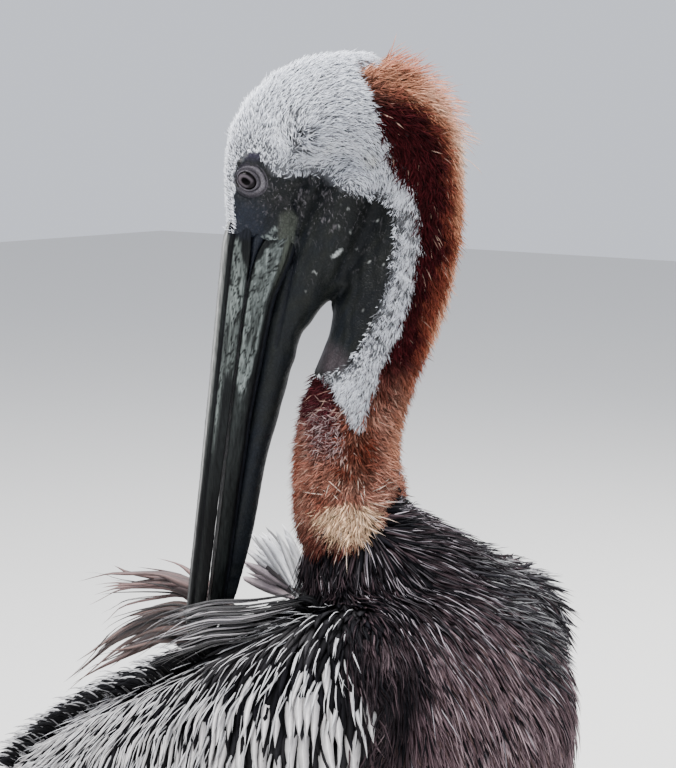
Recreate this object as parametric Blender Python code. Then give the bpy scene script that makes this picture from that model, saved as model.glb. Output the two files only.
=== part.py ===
"""Brown pelican in breeding plumage, life size, standing, with its bill turned back over the right wing.

Metres, +Z up. +X is the way the trunk faces and +Y is the bird's left. The floor is Z = 0.
Every soft form is a skin stretched over oval rings that follow a few named stations. Where two
pieces meet, one is cut back by a thin clearance, so that each is a closed solid of its own.
"""
import math

import bmesh
import bpy
from mathutils import Matrix, Vector

# Driving dimensions
NECK_FOOT = Vector((0.040, -0.020, 0.360))  # where the neck leaves the shoulders
HEAD_TURN = math.radians(-132)              # heading of the head, from +X towards -Y
HEAD_ROLL = 7                               # degrees; the bill's tip swings to the head's right
PIVOT = (0.004, 0.232)                      # middle of the crook of the neck, forward and up
CULMEN = 0.268                              # bill length along its upper ridge
BILL_ROOT = (0.0678, 0.2010)                # forward and up, middle of the upper bill's root
BILL_TILT = math.radians(6.0)               # the bill's lean forward from straight down
EYE_SPOT = (0.0622, 0.2395)                 # forward and up
EYE_SIDE = 0.0145                           # eye centre from the head's middle plane
EYE_RADIUS = 0.0080
LEVEL_BELOW = 0.050                         # the neck's rings stay level up to here
WEB_THICK = 0.0020
TOE_BED = 0.0008                            # the toes' undersides lie this high, inside the web
FOOT_SPREAD = 0.050                         # each foot's distance from the middle plane
RAISED = 0.12                               # rise of the left shoulder with the turn of the neck
FOOT_X = -0.055                             # ankle's place along the trunk
TOE_OUT = 8                                 # degrees that each foot turns outward
PART_GAP = 0.0003                           # clearance where two pieces meet end to end
CUT_GAP = 0.00035                           # the same, for a curved cut

UP = Vector((0, 0, 1))
HEADING = Vector((math.cos(HEAD_TURN), math.sin(HEAD_TURN), 0))
HEAD_RIGHT = HEADING.cross(UP)

COLOURS = {  # base colour and roughness
    "brown_plumage": ((0.085, 0.060, 0.055), 0.80),
    "silver_plumage": ((0.300, 0.280, 0.270), 0.70),
    "chestnut_plumage": ((0.200, 0.055, 0.025), 0.85),
    "white_plumage": ((0.740, 0.740, 0.720), 0.85),
    "flight_feathers": ((0.060, 0.050, 0.048), 0.60),
    "bill_horn": ((0.080, 0.090, 0.085), 0.45),
    "pouch_skin": ((0.035, 0.038, 0.042), 0.60),
    "eye": ((0.100, 0.080, 0.070), 0.10),
    "leg_skin": ((0.050, 0.052, 0.050), 0.55),
}


# --- making and cutting shapes -----------------------------------------------------------------
def clear_scene():
    for obj in list(bpy.data.objects):
        bpy.data.objects.remove(obj)


def material(name):
    found = bpy.data.materials.get(name)
    if found:
        return found
    made = bpy.data.materials.new(name)
    made.use_nodes = True
    shader = made.node_tree.nodes["Principled BSDF"]
    colour, roughness = COLOURS[name]
    shader.inputs["Base Color"].default_value = (*colour, 1)
    shader.inputs["Roughness"].default_value = roughness
    shader.inputs["Metallic"].default_value = 0
    return made


def add_object(name, bm, finish):
    bmesh.ops.recalc_face_normals(bm, faces=bm.faces)
    bmesh.ops.triangulate(bm, faces=bm.faces)
    mesh = bpy.data.meshes.new(name)
    bm.to_mesh(mesh)
    bm.free()
    mesh.materials.append(material(finish))
    mesh.shade_smooth()
    mesh.set_sharp_from_angle(angle=math.radians(50))
    obj = bpy.data.objects.new(name, mesh)
    bpy.context.scene.collection.objects.link(obj)
    return obj


def spline(rows, steps):
    """Catmull-Rom through rows of numbers, with this many steps between each two."""
    padded = [rows[0], *rows, rows[-1]]
    out = []
    for k in range(1, len(padded) - 2):
        before, start, end, after = padded[k - 1:k + 3]
        for step in range(steps):
            t = step / steps
            out.append([
                b + 0.5 * t * (c - a + t * (2 * a - 5 * b + 4 * c - d + t * (3 * b - a - 3 * c + d)))
                for a, b, c, d in zip(before, start, end, after)])
    out.append(list(rows[-1]))
    return out


def rounded(rings, start=True, end=True, reach=0.5, steps=2):
    """Adds shrinking rings beyond an end, so that it closes in a dome."""
    out = list(rings)
    for place, inner, wanted in ((0, 1, start), (-1, -2, end)):
        if not wanted:
            continue
        centre, half_a, half_b = rings[place]
        away = (centre - rings[inner][0]).normalized()
        length = reach * min(half_a.length, half_b.length)
        for step in range(1, steps + 1):
            bend = math.radians(72) * step / steps
            ring = (centre + away * length * math.sin(bend),
                    half_a * math.cos(bend), half_b * math.cos(bend))
            out.insert(0 if place == 0 else len(out), ring)
    return out


def skin_rings(name, rings, finish, segments=18):
    """A closed tube: a capped circle, extruded from ring to ring. A ring is a centre and two half axes."""
    frames = [Matrix.Translation(centre)
              @ Matrix((half_a, half_b, half_a.cross(half_b).normalized())).transposed().to_4x4()
              for centre, half_a, half_b in rings]
    bm = bmesh.new()
    bmesh.ops.create_circle(bm, cap_ends=True, segments=segments, radius=1, matrix=frames[0])
    edges = list(bm.edges)
    for before, after in zip(frames, frames[1:]):
        made = bmesh.ops.extrude_edge_only(bm, edges=edges)["geom"]
        verts = [item for item in made if isinstance(item, bmesh.types.BMVert)]
        edges = [item for item in made
                 if isinstance(item, bmesh.types.BMEdge) and set(item.verts) <= set(verts)]
        bmesh.ops.transform(bm, matrix=after @ before.inverted(), verts=verts)
    bmesh.ops.contextual_create(bm, geom=edges)
    return add_object(name, bm, finish)


def helper(source, user, grow):
    """A hidden copy of a piece's uncut shape, grown by the clearance that its neighbour keeps."""
    obj = source.copy()
    obj.modifiers.clear()
    obj.name = f"{source.name}_cuts_{user.name}"
    obj.hide_render = True
    obj.display_type = "WIRE"
    bpy.context.scene.collection.objects.link(obj)
    push = obj.modifiers.new("clearance", "DISPLACE")
    push.strength = grow
    push.mid_level = 0
    return obj


def carve(obj, *neighbours, gap=CUT_GAP):
    for other in neighbours:
        cut = obj.modifiers.new("cut by " + other.name, "BOOLEAN")
        cut.operation = "DIFFERENCE"
        cut.object = helper(other, obj, gap)


def join(obj, *others):
    for other in others:
        other.hide_render = True
        other.display_type = "WIRE"
        union = obj.modifiers.new("with " + other.name, "BOOLEAN")
        union.operation = "UNION"
        union.object = other


# --- the body's frame --------------------------------------------------------------------------
def body_rings(stations, steps=2):
    """Upright rings across the trunk: x, y, z, half width, half height, lean in degrees."""
    rings = []
    for x, y, z, width, height, lean in spline(stations, steps):
        turn = Matrix.Rotation(math.radians(lean), 3, "X")
        rings.append((Vector((x, y, z)), turn @ Vector((0, width, 0)), turn @ Vector((0, 0, height))))
    return rings


def build_trunk():
    stations = [
        (0.178, 0.004, 0.255, 0.020, 0.022, 4),
        (0.160, 0.004, 0.257, 0.058, 0.062, 4),
        (0.138, 0.004, 0.259, 0.082, 0.086, 4),
        (0.100, 0.003, 0.258, 0.102, 0.104, 4),
        (0.045, 0.002, 0.245, 0.110, 0.110, 4),
        (-0.020, 0, 0.219, 0.109, 0.106, 3),
        (-0.090, 0, 0.190, 0.099, 0.091, 2),
        (-0.160, 0, 0.162, 0.080, 0.068, 0),
        (-0.220, 0, 0.140, 0.056, 0.044, 0),
        (-0.262, 0, 0.124, 0.036, 0.024, 0),
    ]
    rings = rounded(body_rings(stations), reach=0.12)
    return skin_rings("trunk", rings, "brown_plumage", segments=24)


def build_wings(trunk, neck, tail, bill_pieces):
    """Each folded wing: a shell over the flank from the wrist to the tertials, and the long
    flight feathers, which cross over the tail."""
    covert_stations = [  # x, distance from the middle plane, z, half width, half height, lean inward
        (0.124, 0.080, 0.287, 0.020, 0.038, 10),
        (0.108, 0.074, 0.282, 0.038, 0.062, 10),
        (0.066, 0.061, 0.268, 0.062, 0.080, 10),
        (0.000, 0.054, 0.241, 0.072, 0.082, 8),
        (-0.070, 0.047, 0.212, 0.070, 0.077, 6),
        (-0.140, 0.039, 0.187, 0.060, 0.066, 4),
        (-0.205, 0.032, 0.166, 0.044, 0.048, 2),
        (-0.250, 0.026, 0.152, 0.029, 0.031, 0),
        (-0.288, 0.019, 0.142, 0.013, 0.013, 0),
    ]
    tip_stations = [
        (-0.100, 0.070, 0.176, 0.030, 0.040, 12),
        (-0.180, 0.058, 0.152, 0.026, 0.036, 10),
        (-0.250, 0.040, 0.138, 0.017, 0.024, 8),
        (-0.310, 0.024, 0.127, 0.010, 0.014, 4),
        (-0.350, 0.014, 0.120, 0.005, 0.007, 0),
    ]
    crossing = bill_pieces
    finished = []
    for side, name in ((-1, "right"), (1, "left")):
        shells = []
        for label, stations, steps, finish in (
                ("wing_coverts_", covert_stations, 2, "silver_plumage"),
                ("wing_primaries_", tip_stations, 1, "flight_feathers")):
            rings = body_rings([(x, side * y, z + max(side, 0) * RAISED * max(x, 0), w, h, side * lean)
                                for x, y, z, w, h, lean in stations], steps)
            shells.append(skin_rings(label + name, rounded(rings, reach=0.5), finish, segments=14))
        coverts, primaries = shells
        carve(coverts, trunk, neck, tail, *crossing)
        carve(primaries, trunk, tail, *finished, coverts)
        crossing = [coverts]
        finished += shells
    return finished


# --- head and neck -----------------------------------------------------------------------------
def head_point(forward, up, roll=HEAD_ROLL, right=0.0):
    """A point in the head's frame. Roll tilts it about the crook of the neck."""
    turn = math.radians(roll)
    rise = up - PIVOT[1]
    sideways = right * math.cos(turn) - rise * math.sin(turn)
    height = PIVOT[1] + rise * math.cos(turn) + right * math.sin(turn)
    return NECK_FOOT + forward * HEADING + sideways * HEAD_RIGHT + height * UP


def head_rings(stations, steps=2, level_below=-1.0):
    """Rings across a path in the head's frame: forward, up, roll, half depth, half width.

    Rings under level_below lie flat instead."""
    rows = spline(stations, steps)
    rings = []
    for k, (forward, up, roll, depth, width) in enumerate(rows):
        before, after = rows[max(k - 1, 0)], rows[min(k + 1, len(rows) - 1)]
        path = head_point(*after[:3]) - head_point(*before[:3])
        along = UP if up < level_below else path.normalized()
        right = head_point(forward, up, roll, 1) - head_point(forward, up, roll)
        across = along.cross(right).normalized()
        rings.append((head_point(forward, up, roll), depth * across, width * across.cross(along)))
    return rings


def crook(angle, outer, inner=0.018):
    """Place and half depth of a station of the crook, from its outer and inner radius."""
    turn = math.radians(angle)
    radius = (outer + inner) / 2
    return (PIVOT[0] + radius * math.cos(turn), PIVOT[1] + radius * math.sin(turn),
            (outer - inner) / 2)


def hook_stations():
    """The neck from its foot to the root of the bill, as one hooked tube."""
    neck = [
        (-0.044, -0.040, 0, 0.080, 0.070),
        (-0.038, -0.012, 0, 0.070, 0.062),
        (-0.024, 0.012, 0, 0.055, 0.052),
        (-0.008, 0.030, 0, 0.0405, 0.041),
        (0.000, 0.050, 0, 0.0335, 0.034),
        (-0.002, 0.088, 0, 0.0320, 0.031),
        (-0.0165, 0.128, 0, 0.0305, 0.030),
        (-0.028, 0.165, 1, 0.0345, 0.029),
        (-0.041, 0.202, 3, 0.0325, 0.0295),
    ]
    turns = [  # degrees round the crook, outer radius, roll, half width
        (180, 0.0790, 5, 0.0300), (150, 0.0835, 7, 0.0300), (120, 0.0870, 7, 0.0302),
        (90, 0.0846, 7, 0.0305), (60, 0.0832, 7, 0.0295), (30, 0.0778, 7, 0.0268),
        (5, 0.0735, 7, 0.0232)]
    for angle, outer, roll, width in turns:
        forward, up, depth = crook(angle, outer)
        neck.append((forward, up, roll, depth, width))
    neck.append((0.0540, 0.2020, HEAD_ROLL, 0.0215, 0.0190))
    return neck


def hook_part(name, finish, first, last, trim_start=True, trim_end=True):
    """A length of the hooked tube. A trimmed end leaves its half of the gap to the next piece."""
    rings = head_rings(hook_stations(), level_below=LEVEL_BELOW)[first:last + 1]
    for place, inner, wanted in ((0, 1, trim_start), (-1, -2, trim_end)):
        if wanted:
            centre, half_a, half_b = rings[place]
            inward = (rings[inner][0] - centre).normalized()
            rings[place] = (centre + inward * PART_GAP / 2, half_a, half_b)
    return skin_rings(name, rings, finish, segments=18)


def build_neck_and_head(trunk):
    lower = hook_part("neck_lower", "chestnut_plumage", 0, 10, trim_start=False)
    upper = hook_part("neck_upper", "chestnut_plumage", 10, 18)
    head = hook_part("head", "white_plumage", 18, 32)
    carve(lower, trunk)
    return lower, upper, head


# --- bill and pouch ----------------------------------------------------------------------------
def bill_rings(shape, steps=2):
    """Rings along the bill: share of its length, depth below its axis, half depth, half width."""
    down = Vector((math.sin(BILL_TILT), -math.cos(BILL_TILT)))
    throatward = Vector((-math.cos(BILL_TILT), -math.sin(BILL_TILT)))
    stations = []
    for share, below, depth, width in shape:
        spot = Vector(BILL_ROOT) + share * CULMEN * down + below * throatward
        stations.append((spot.x, spot.y, HEAD_ROLL, depth, width))
    return head_rings(stations, steps)


def build_upper_bill():
    bill = skin_rings("upper_bill", bill_rings([
        (0.00, 0.0000, 0.0083, 0.0165), (0.12, 0.0000, 0.0077, 0.0150),
        (0.35, 0.0000, 0.0067, 0.0128), (0.60, 0.0000, 0.0060, 0.0114),
        (0.80, 0.0000, 0.0058, 0.0112), (0.93, 0.0000, 0.0052, 0.0102)], 1), "bill_horn", segments=14)
    nail = skin_rings("bill_nail", rounded(bill_rings([
        (0.9315, 0.0000, 0.0050, 0.0095), (0.965, 0.0014, 0.0046, 0.0070),
        (0.988, 0.0042, 0.0036, 0.0046), (1.000, 0.0095, 0.0022, 0.0026)]),
        start=False, reach=0.8), "bill_horn", segments=12)
    carve(nail, bill)
    return bill, nail


def build_lower_bill():
    rings = bill_rings([
        (0.004, 0.0228, 0.0138, 0.0175), (0.070, 0.0200, 0.0112, 0.0165),
        (0.120, 0.0182, 0.0092, 0.0155), (0.220, 0.0166, 0.0082, 0.0142),
        (0.400, 0.0146, 0.0066, 0.0122), (0.600, 0.0130, 0.0057, 0.0108),
        (0.780, 0.0122, 0.0050, 0.0100), (0.900, 0.0112, 0.0038, 0.0085),
        (0.950, 0.0106, 0.0026, 0.0060)], 1)
    return skin_rings("lower_bill", rounded(rings, start=False, reach=0.8), "bill_horn", segments=12)


def build_pouch(neighbours):
    stations = [  # forward, up, roll, half depth, half width
        (0.000, 0.236, HEAD_ROLL, 0.0200, 0.0245),
        (0.010, 0.207, HEAD_ROLL, 0.0225, 0.0245),
        (0.026, 0.173, HEAD_ROLL, 0.0185, 0.0200),
        (0.0385, 0.1455, HEAD_ROLL, 0.0130, 0.0150),
        (0.0455, 0.1145, HEAD_ROLL, 0.0115, 0.0125),
        (0.0505, 0.0900, HEAD_ROLL, 0.0105, 0.0112),
        (0.0575, 0.0575, HEAD_ROLL, 0.0085, 0.0092),
        (0.0640, 0.0250, HEAD_ROLL, 0.0066, 0.0076),
        (0.0685, -0.0015, HEAD_ROLL, 0.0050, 0.0062),
        (0.0740, -0.0320, HEAD_ROLL, 0.0030, 0.0040)]
    rings = rounded(head_rings(stations, 1), reach=0.8)
    pouch = skin_rings("pouch", rings, "pouch_skin", segments=14)
    carve(pouch, *neighbours)
    return pouch


def build_eyes(*neighbours):
    for side, name in ((-1, "eye_left"), (1, "eye_right")):
        bm = bmesh.new()
        place = Matrix.Translation(head_point(*EYE_SPOT, right=side * EYE_SIDE))
        bmesh.ops.create_icosphere(bm, subdivisions=2, radius=EYE_RADIUS, matrix=place)
        eye = add_object(name, bm, "eye")
        for other in neighbours:
            carve(other, eye)


# --- feathers ruffled up by the bill ----------------------------------------------------------
def build_tufts(*neighbours):
    """Long scapular and mantle feathers that the bill has lifted clear of the back, tuft by tuft."""
    tufts = {  # x, y, z, half width across, half height
        "scapular_plume_upper": [
            (-0.030, -0.025, 0.292, 0.010, 0.009), (-0.069, -0.025, 0.316, 0.013, 0.010),
            (-0.105, -0.025, 0.321, 0.013, 0.010), (-0.145, -0.025, 0.316, 0.010, 0.008),
            (-0.180, -0.025, 0.307, 0.006, 0.005), (-0.206, -0.025, 0.298, 0.002, 0.002)],
        "scapular_plume_lower": [
            (-0.035, -0.038, 0.280, 0.010, 0.009), (-0.062, -0.037, 0.301, 0.013, 0.011),
            (-0.095, -0.036, 0.303, 0.013, 0.012), (-0.140, -0.035, 0.281, 0.010, 0.011),
            (-0.180, -0.034, 0.257, 0.006, 0.007), (-0.213, -0.034, 0.234, 0.002, 0.002)],
        "mantle_tuft": [
            (0.070, -0.058, 0.325, 0.007, 0.009), (0.036, -0.080, 0.332, 0.006, 0.010),
            (0.002, -0.089, 0.326, 0.005, 0.011), (-0.034, -0.090, 0.311, 0.005, 0.010),
            (-0.070, -0.086, 0.291, 0.003, 0.006), (-0.092, -0.083, 0.277, 0.0015, 0.002)],
        "ruffled_tuft": [
            (0.030, -0.020, 0.312, 0.010, 0.012), (0.006, -0.020, 0.333, 0.012, 0.014),
            (-0.016, -0.021, 0.350, 0.010, 0.013), (-0.036, -0.022, 0.368, 0.003, 0.004)],
    }
    finished = list(neighbours)
    for name, stations in tufts.items():
        rows = spline(stations, 2)
        rings = []
        for k, (x, y, z, width, height) in enumerate(rows):
            before, after = rows[max(k - 1, 0)], rows[min(k + 1, len(rows) - 1)]
            along = (Vector(after[:3]) - Vector(before[:3])).normalized()
            side = along.cross(UP).normalized()
            rings.append((Vector((x, y, z)), width * side, height * side.cross(along)))
        tuft = skin_rings(name, rings, "silver_plumage", segments=10)
        carve(tuft, *finished)
        finished.append(tuft)


# --- tail, legs and feet -----------------------------------------------------------------------
def build_tail(trunk):
    stations = [  # x, y, z, half width, half thickness, lean
        (-0.225, 0, 0.122, 0.040, 0.018, 0),
        (-0.275, 0, 0.112, 0.050, 0.012, 0),
        (-0.330, 0, 0.099, 0.060, 0.008, 0),
        (-0.362, 0, 0.092, 0.059, 0.006, 0),
        (-0.382, 0, 0.087, 0.046, 0.005, 0),
        (-0.393, 0, 0.084, 0.028, 0.004, 0),
    ]
    tail = skin_rings("tail", rounded(body_rings(stations, 1), start=False), "flight_feathers", segments=14)
    carve(tail, trunk)
    return tail


def leg_rings(side, stations, steps=2):
    """Level rings up a leg: x, distance from the middle plane, z, half length, half width."""
    return [(Vector((x, side * y, z)), Vector((length, 0, 0)), Vector((0, width, 0)))
            for x, y, z, length, width in spline(stations, steps)]


def foot_point(side, angle, reach, z=0.0):
    """A point of the foot, by its angle outward from straight ahead and its distance from the heel."""
    turn = math.radians(angle + TOE_OUT)
    return Vector((FOOT_X + reach * math.cos(turn), side * (FOOT_SPREAD + reach * math.sin(turn)), z))


def build_web(name, side, toes):
    """The flat web of the foot, drawn in between the tips of the toes."""
    outline = [foot_point(side, 180, 0.011), foot_point(side, 90, 0.009)]
    for (angle, reach, *_), following in zip(toes, toes[1:] + [None]):
        outline.append(foot_point(side, angle + 2, reach * 0.97))
        outline.append(foot_point(side, angle - 2, reach * 0.97))
        if following:
            outline.append(foot_point(side, (angle + following[0]) / 2,
                                      0.82 * (reach + following[1]) / 2))
    bm = bmesh.new()
    face = bm.faces.new([bm.verts.new(point) for point in outline])
    made = bmesh.ops.extrude_face_region(bm, geom=[face])
    lifted = [item for item in made["geom"] if isinstance(item, bmesh.types.BMVert)]
    bmesh.ops.translate(bm, verts=lifted, vec=(0, 0, WEB_THICK))
    return add_object(name, bm, "leg_skin")


def build_toe(name, side, angle, reach, thick, start):
    """One toe with its claw, resting inside the web."""
    stations = [  # share of the reach, share of the thickness, half width as a share of it
        (start, 1.00, 0.82), (0.30, 0.84, 0.68), (0.55, 0.74, 0.62), (0.64, 0.78, 0.66),
        (0.90, 0.58, 0.44), (0.98, 0.48, 0.32), (1.04, 0.30, 0.15)]
    turn = math.radians(angle + TOE_OUT)
    across = Vector((-math.sin(turn), side * math.cos(turn), 0))
    rings = []
    for share, height, width in stations:
        middle = foot_point(side, angle, share * reach, (height * thick + TOE_BED) / 2)
        rings.append((middle, width * thick * across, (height * thick - TOE_BED) / 2 * UP))
    return skin_rings(name, rings, "leg_skin", segments=6)


def build_legs(trunk, *neighbours):
    toes = [  # angle, reach, thickness and start, from the outer toe to the hind toe
        (16, 0.098, 0.0068, 0.030), (-6, 0.110, 0.0078, -0.010),
        (-32, 0.086, 0.0072, 0.050), (-78, 0.050, 0.0062, 0.110)]
    for side, name in ((-1, "right"), (1, "left")):
        foot = build_web("foot_" + name, side, toes)
        parts = [build_toe(f"toe_{number}_{name}", side, *toe) for number, toe in enumerate(toes)]
        heel = leg_rings(side, [
            (FOOT_X - 0.001, FOOT_SPREAD, 0.0009, 0.0085, 0.0072),
            (FOOT_X - 0.001, FOOT_SPREAD, 0.0080, 0.0095, 0.0076),
            (FOOT_X - 0.002, FOOT_SPREAD, 0.0150, 0.0072, 0.0052)])
        parts.append(skin_rings("heel_" + name, heel, "leg_skin", segments=10))
        join(foot, *parts)
        shank = leg_rings(side, [
            (FOOT_X - 0.002, FOOT_SPREAD, 0.0150 + PART_GAP, 0.0070, 0.0050),
            (FOOT_X - 0.006, FOOT_SPREAD, 0.045, 0.0064, 0.0042),
            (FOOT_X - 0.011, FOOT_SPREAD, 0.070, 0.0080, 0.0058),
            (FOOT_X - 0.014, FOOT_SPREAD, 0.084, 0.0100, 0.0080)])
        skin_rings("shank_" + name, shank, "leg_skin", segments=10)
        thigh = leg_rings(side, [
            (FOOT_X - 0.014, FOOT_SPREAD, 0.084 + PART_GAP, 0.0105, 0.0085),
            (FOOT_X - 0.006, FOOT_SPREAD, 0.100, 0.0200, 0.0160),
            (FOOT_X + 0.010, FOOT_SPREAD, 0.125, 0.0360, 0.0260),
            (FOOT_X + 0.024, FOOT_SPREAD, 0.160, 0.0400, 0.0320)])
        feathers = skin_rings("thigh_" + name, thigh, "brown_plumage", segments=14)
        carve(feathers, trunk, *neighbours)


def centre_over_origin():
    """Hangs every piece from one empty, with the middle of the whole bird's box over the origin."""
    depsgraph = bpy.context.evaluated_depsgraph_get()
    corners = [Vector(corner) for obj in bpy.data.objects if not obj.hide_render
               for corner in obj.evaluated_get(depsgraph).bound_box]
    stance = bpy.data.objects.new("stance", None)
    stance.location = [-(min(values) + max(values)) / 2 for values in list(zip(*corners))[:2]] + [0]
    for obj in bpy.data.objects:
        if obj != stance:
            obj.parent = stance
    bpy.context.scene.collection.objects.link(stance)


def main():
    clear_scene()
    trunk = build_trunk()
    lower, upper, head = build_neck_and_head(trunk)
    bill, nail = build_upper_bill()
    mandible = build_lower_bill()
    pouch = build_pouch((head, upper, mandible))
    build_eyes(head)
    wings = build_wings(trunk, lower, build_tail(trunk), (bill, nail, mandible))
    build_tufts(trunk, lower, *wings, bill, nail, mandible, pouch)
    build_legs(trunk)
    centre_over_origin()


main()
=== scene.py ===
import math
from functools import cache
from types import SimpleNamespace

import bmesh
import bpy
import numpy as np
from mathutils import Matrix, Vector
from mathutils.bvhtree import BVHTree


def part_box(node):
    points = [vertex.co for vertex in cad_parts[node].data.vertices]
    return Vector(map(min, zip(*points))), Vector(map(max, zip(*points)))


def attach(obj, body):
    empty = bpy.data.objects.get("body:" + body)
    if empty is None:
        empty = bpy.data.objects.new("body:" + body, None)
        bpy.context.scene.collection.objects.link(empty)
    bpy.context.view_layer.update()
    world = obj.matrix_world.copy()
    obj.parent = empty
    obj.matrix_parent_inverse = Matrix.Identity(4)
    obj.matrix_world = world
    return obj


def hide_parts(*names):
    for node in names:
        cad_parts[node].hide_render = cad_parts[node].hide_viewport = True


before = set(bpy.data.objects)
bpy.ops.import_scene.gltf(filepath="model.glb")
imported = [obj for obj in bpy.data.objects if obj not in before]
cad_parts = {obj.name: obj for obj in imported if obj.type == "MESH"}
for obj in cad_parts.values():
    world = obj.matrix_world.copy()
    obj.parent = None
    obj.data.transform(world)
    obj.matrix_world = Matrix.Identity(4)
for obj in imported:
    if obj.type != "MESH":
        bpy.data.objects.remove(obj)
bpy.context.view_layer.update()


def unit(rows):
    return rows / np.maximum(np.linalg.norm(rows, axis=-1, keepdims=True), 1e-9)


def ease(low, high, value):   # 0 before low, 1 after high, smooth between them
    share = np.clip((value - low) / (high - low), 0, 1)
    return share * share * (3 - 2 * share)


def bell(value, middle, width):   # 1 at the middle, falling away on both sides
    return np.exp(-((value - middle) / width) ** 2)


def mixRows(first, second, share):
    first, second = np.asarray(first, float), np.asarray(second, float)
    return first + (second - first) * np.asarray(share)[..., None]


def layered(colour, *layers):   # tones laid over a colour, each by its own share
    for tone, share in layers:
        colour = mixRows(colour, tone, share)
    return colour


def within(start, full, fading, end, value):   # 0 outside start and end, 1 between the middle two
    return ease(start, full, value) * ease(end, fading, value)


def addObject(name, data):
    obj = bpy.data.objects.new(name, data)
    bpy.context.scene.collection.objects.link(obj)
    return obj


def editMesh(mesh, edit, source=None):   # takes a mesh apart, changes it and puts it together again
    bm = bmesh.new()
    bm.from_mesh(source or mesh)
    edit(bm)
    bm.to_mesh(mesh)
    bm.free()


def closeUp(bm):   # end caps in triangles, and every face turned outwards
    bmesh.ops.triangulate(bm, faces=[face for face in bm.faces if len(face.verts) > 4])
    bmesh.ops.recalc_face_normals(bm, faces=bm.faces)


def evenOut(obj, voxel, rounds):   # new faces of one size, then smoothed
    even = obj.modifiers.new("even", "REMESH")
    even.mode = "VOXEL"
    even.voxel_size = voxel
    obj.modifiers.new("soft", "SMOOTH").iterations = rounds
    applyAll(obj)


def shadeSmooth(obj):
    obj.data.polygons.foreach_set("use_smooth", np.ones(len(obj.data.polygons), bool))


def readRows(items, field, kind=float):
    rows = np.empty(len(items) * 3, kind)
    items.foreach_get(field, rows)
    return rows.reshape(-1, 3)


def ripple(points, size, seed):   # soft noise from about -1 to 1, made of crossed waves
    rng = np.random.default_rng(seed)
    total = np.zeros(len(points))
    for _ in range(7):
        way = unit(rng.normal(size=3))
        turn = points @ way * (2 * np.pi / size) * rng.uniform(0.6, 1.7) + rng.uniform(0, 6.28)
        total += np.sin(turn + 1.3 * np.sin(0.7 * turn))
    return total / 3.2


def nodeMiddle(name):
    low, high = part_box(name)
    return np.array((low + high) / 2)


def deselectAll():
    for obj in bpy.context.selected_objects:
        obj.select_set(False)


def makeActive(obj):
    deselectAll()
    obj.select_set(True)
    bpy.context.view_layer.objects.active = obj


def applyAll(obj):
    makeActive(obj)
    for modifier in list(obj.modifiers):
        bpy.ops.object.modifier_apply(modifier=modifier.name)


def vertexRows(obj):
    return readRows(obj.data.vertices, "co")


def normalRows(obj):
    return readRows(obj.data.vertex_normals, "vector")


def triangleRows(obj):
    obj.data.calc_loop_triangles()
    return readRows(obj.data.loop_triangles, "vertices", np.int32)


def mark(obj, name, kind, field, rows):   # a value for each vertex
    layer = obj.data.attributes.new(name, kind, "POINT")
    layer.data.foreach_set(field, np.asarray(rows, np.float32).ravel())


def setVertexRows(obj, rows):
    obj.data.vertices.foreach_set("co", np.asarray(rows, np.float32).ravel())
    obj.data.update()


def paint(obj, tint):
    rows = np.ones((len(obj.data.vertices), 4), np.float32)
    rows[:, :3] = tint
    mark(obj, "tint", "FLOAT_COLOR", "color", rows)


def meshObject(name, points, corners, starts):
    mesh = bpy.data.meshes.new(name)
    mesh.vertices.add(len(points))
    mesh.vertices.foreach_set("co", np.asarray(points, np.float32).ravel())
    mesh.loops.add(len(corners))
    mesh.loops.foreach_set("vertex_index", np.asarray(corners, np.int32))
    mesh.polygons.add(len(starts))
    mesh.polygons.foreach_set("loop_start", np.asarray(starts, np.int32))
    mesh.polygons.foreach_set("use_smooth", np.ones(len(starts), bool))
    mesh.update(calc_edges=True)
    return addObject(name, mesh)


def settle(obj, material, replaced=()):   # every piece rides with the one still body
    obj.data.materials.clear()
    obj.data.materials.append(material)
    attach(obj, "root")
    if replaced:
        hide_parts(*replaced)
    return obj


def segmentGap(spots, start, span):   # distance of each spot from one straight piece of a line
    share = np.clip((spots - start) @ span / (span @ span), 0, 1)
    return np.linalg.norm(spots - start - share[:, None] * span, axis=1)


head = {"eyeForward": 0.0622, "eyeUp": 0.2395, "crookForward": 0.004, "crookUp": 0.232,
        "crookRadius": 0.05, "sideRise": 0.003}
eyes = {side: nodeMiddle("eye_" + side) for side in ("left", "right")}
upward = np.array((0.0, 0.0, 1.0))
across = unit(eyes["right"] - eyes["left"])
heading = unit(np.cross(upward, across))
tiltedUp = np.cross(across, heading)
sideways = np.cross(heading, upward)
crookMiddle = ((eyes["left"] + eyes["right"]) / 2 - (head["eyeForward"] - head["crookForward"]) * heading
               - (head["eyeUp"] - head["crookUp"]) * tiltedUp)
neckFoot = crookMiddle - head["crookForward"] * heading - head["crookUp"] * upward


def headCoordinates(points):   # forward, height and sideways in the head, level low on the neck
    offset = points - neckFoot
    level = offset[:, 2]
    tilted = (points - crookMiddle) @ tiltedUp + head["crookUp"]
    share = ease(0.13, 0.23, level)
    height = level + (tilted - head["sideRise"] - level) * share
    right = offset @ sideways * (1 - share) + (points - crookMiddle) @ across * share
    return offset @ heading, height, right


def neckLine():   # the middle of the neck from its foot, over the crook, to the root of the bill
    line = [(-0.044, -0.04), (-0.024, 0.012), (-0.008, 0.03), (0.0, 0.05), (-0.002, 0.088),
            (-0.0165, 0.128), (-0.028, 0.165), (-0.041, 0.202)]
    for degrees in range(180, -1, -15):
        turn = math.radians(degrees)
        line.append((head["crookForward"] + head["crookRadius"] * math.cos(turn),
                     head["crookUp"] + head["crookRadius"] * math.sin(turn)))
    return np.array(line + [(0.054, 0.202)])


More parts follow.
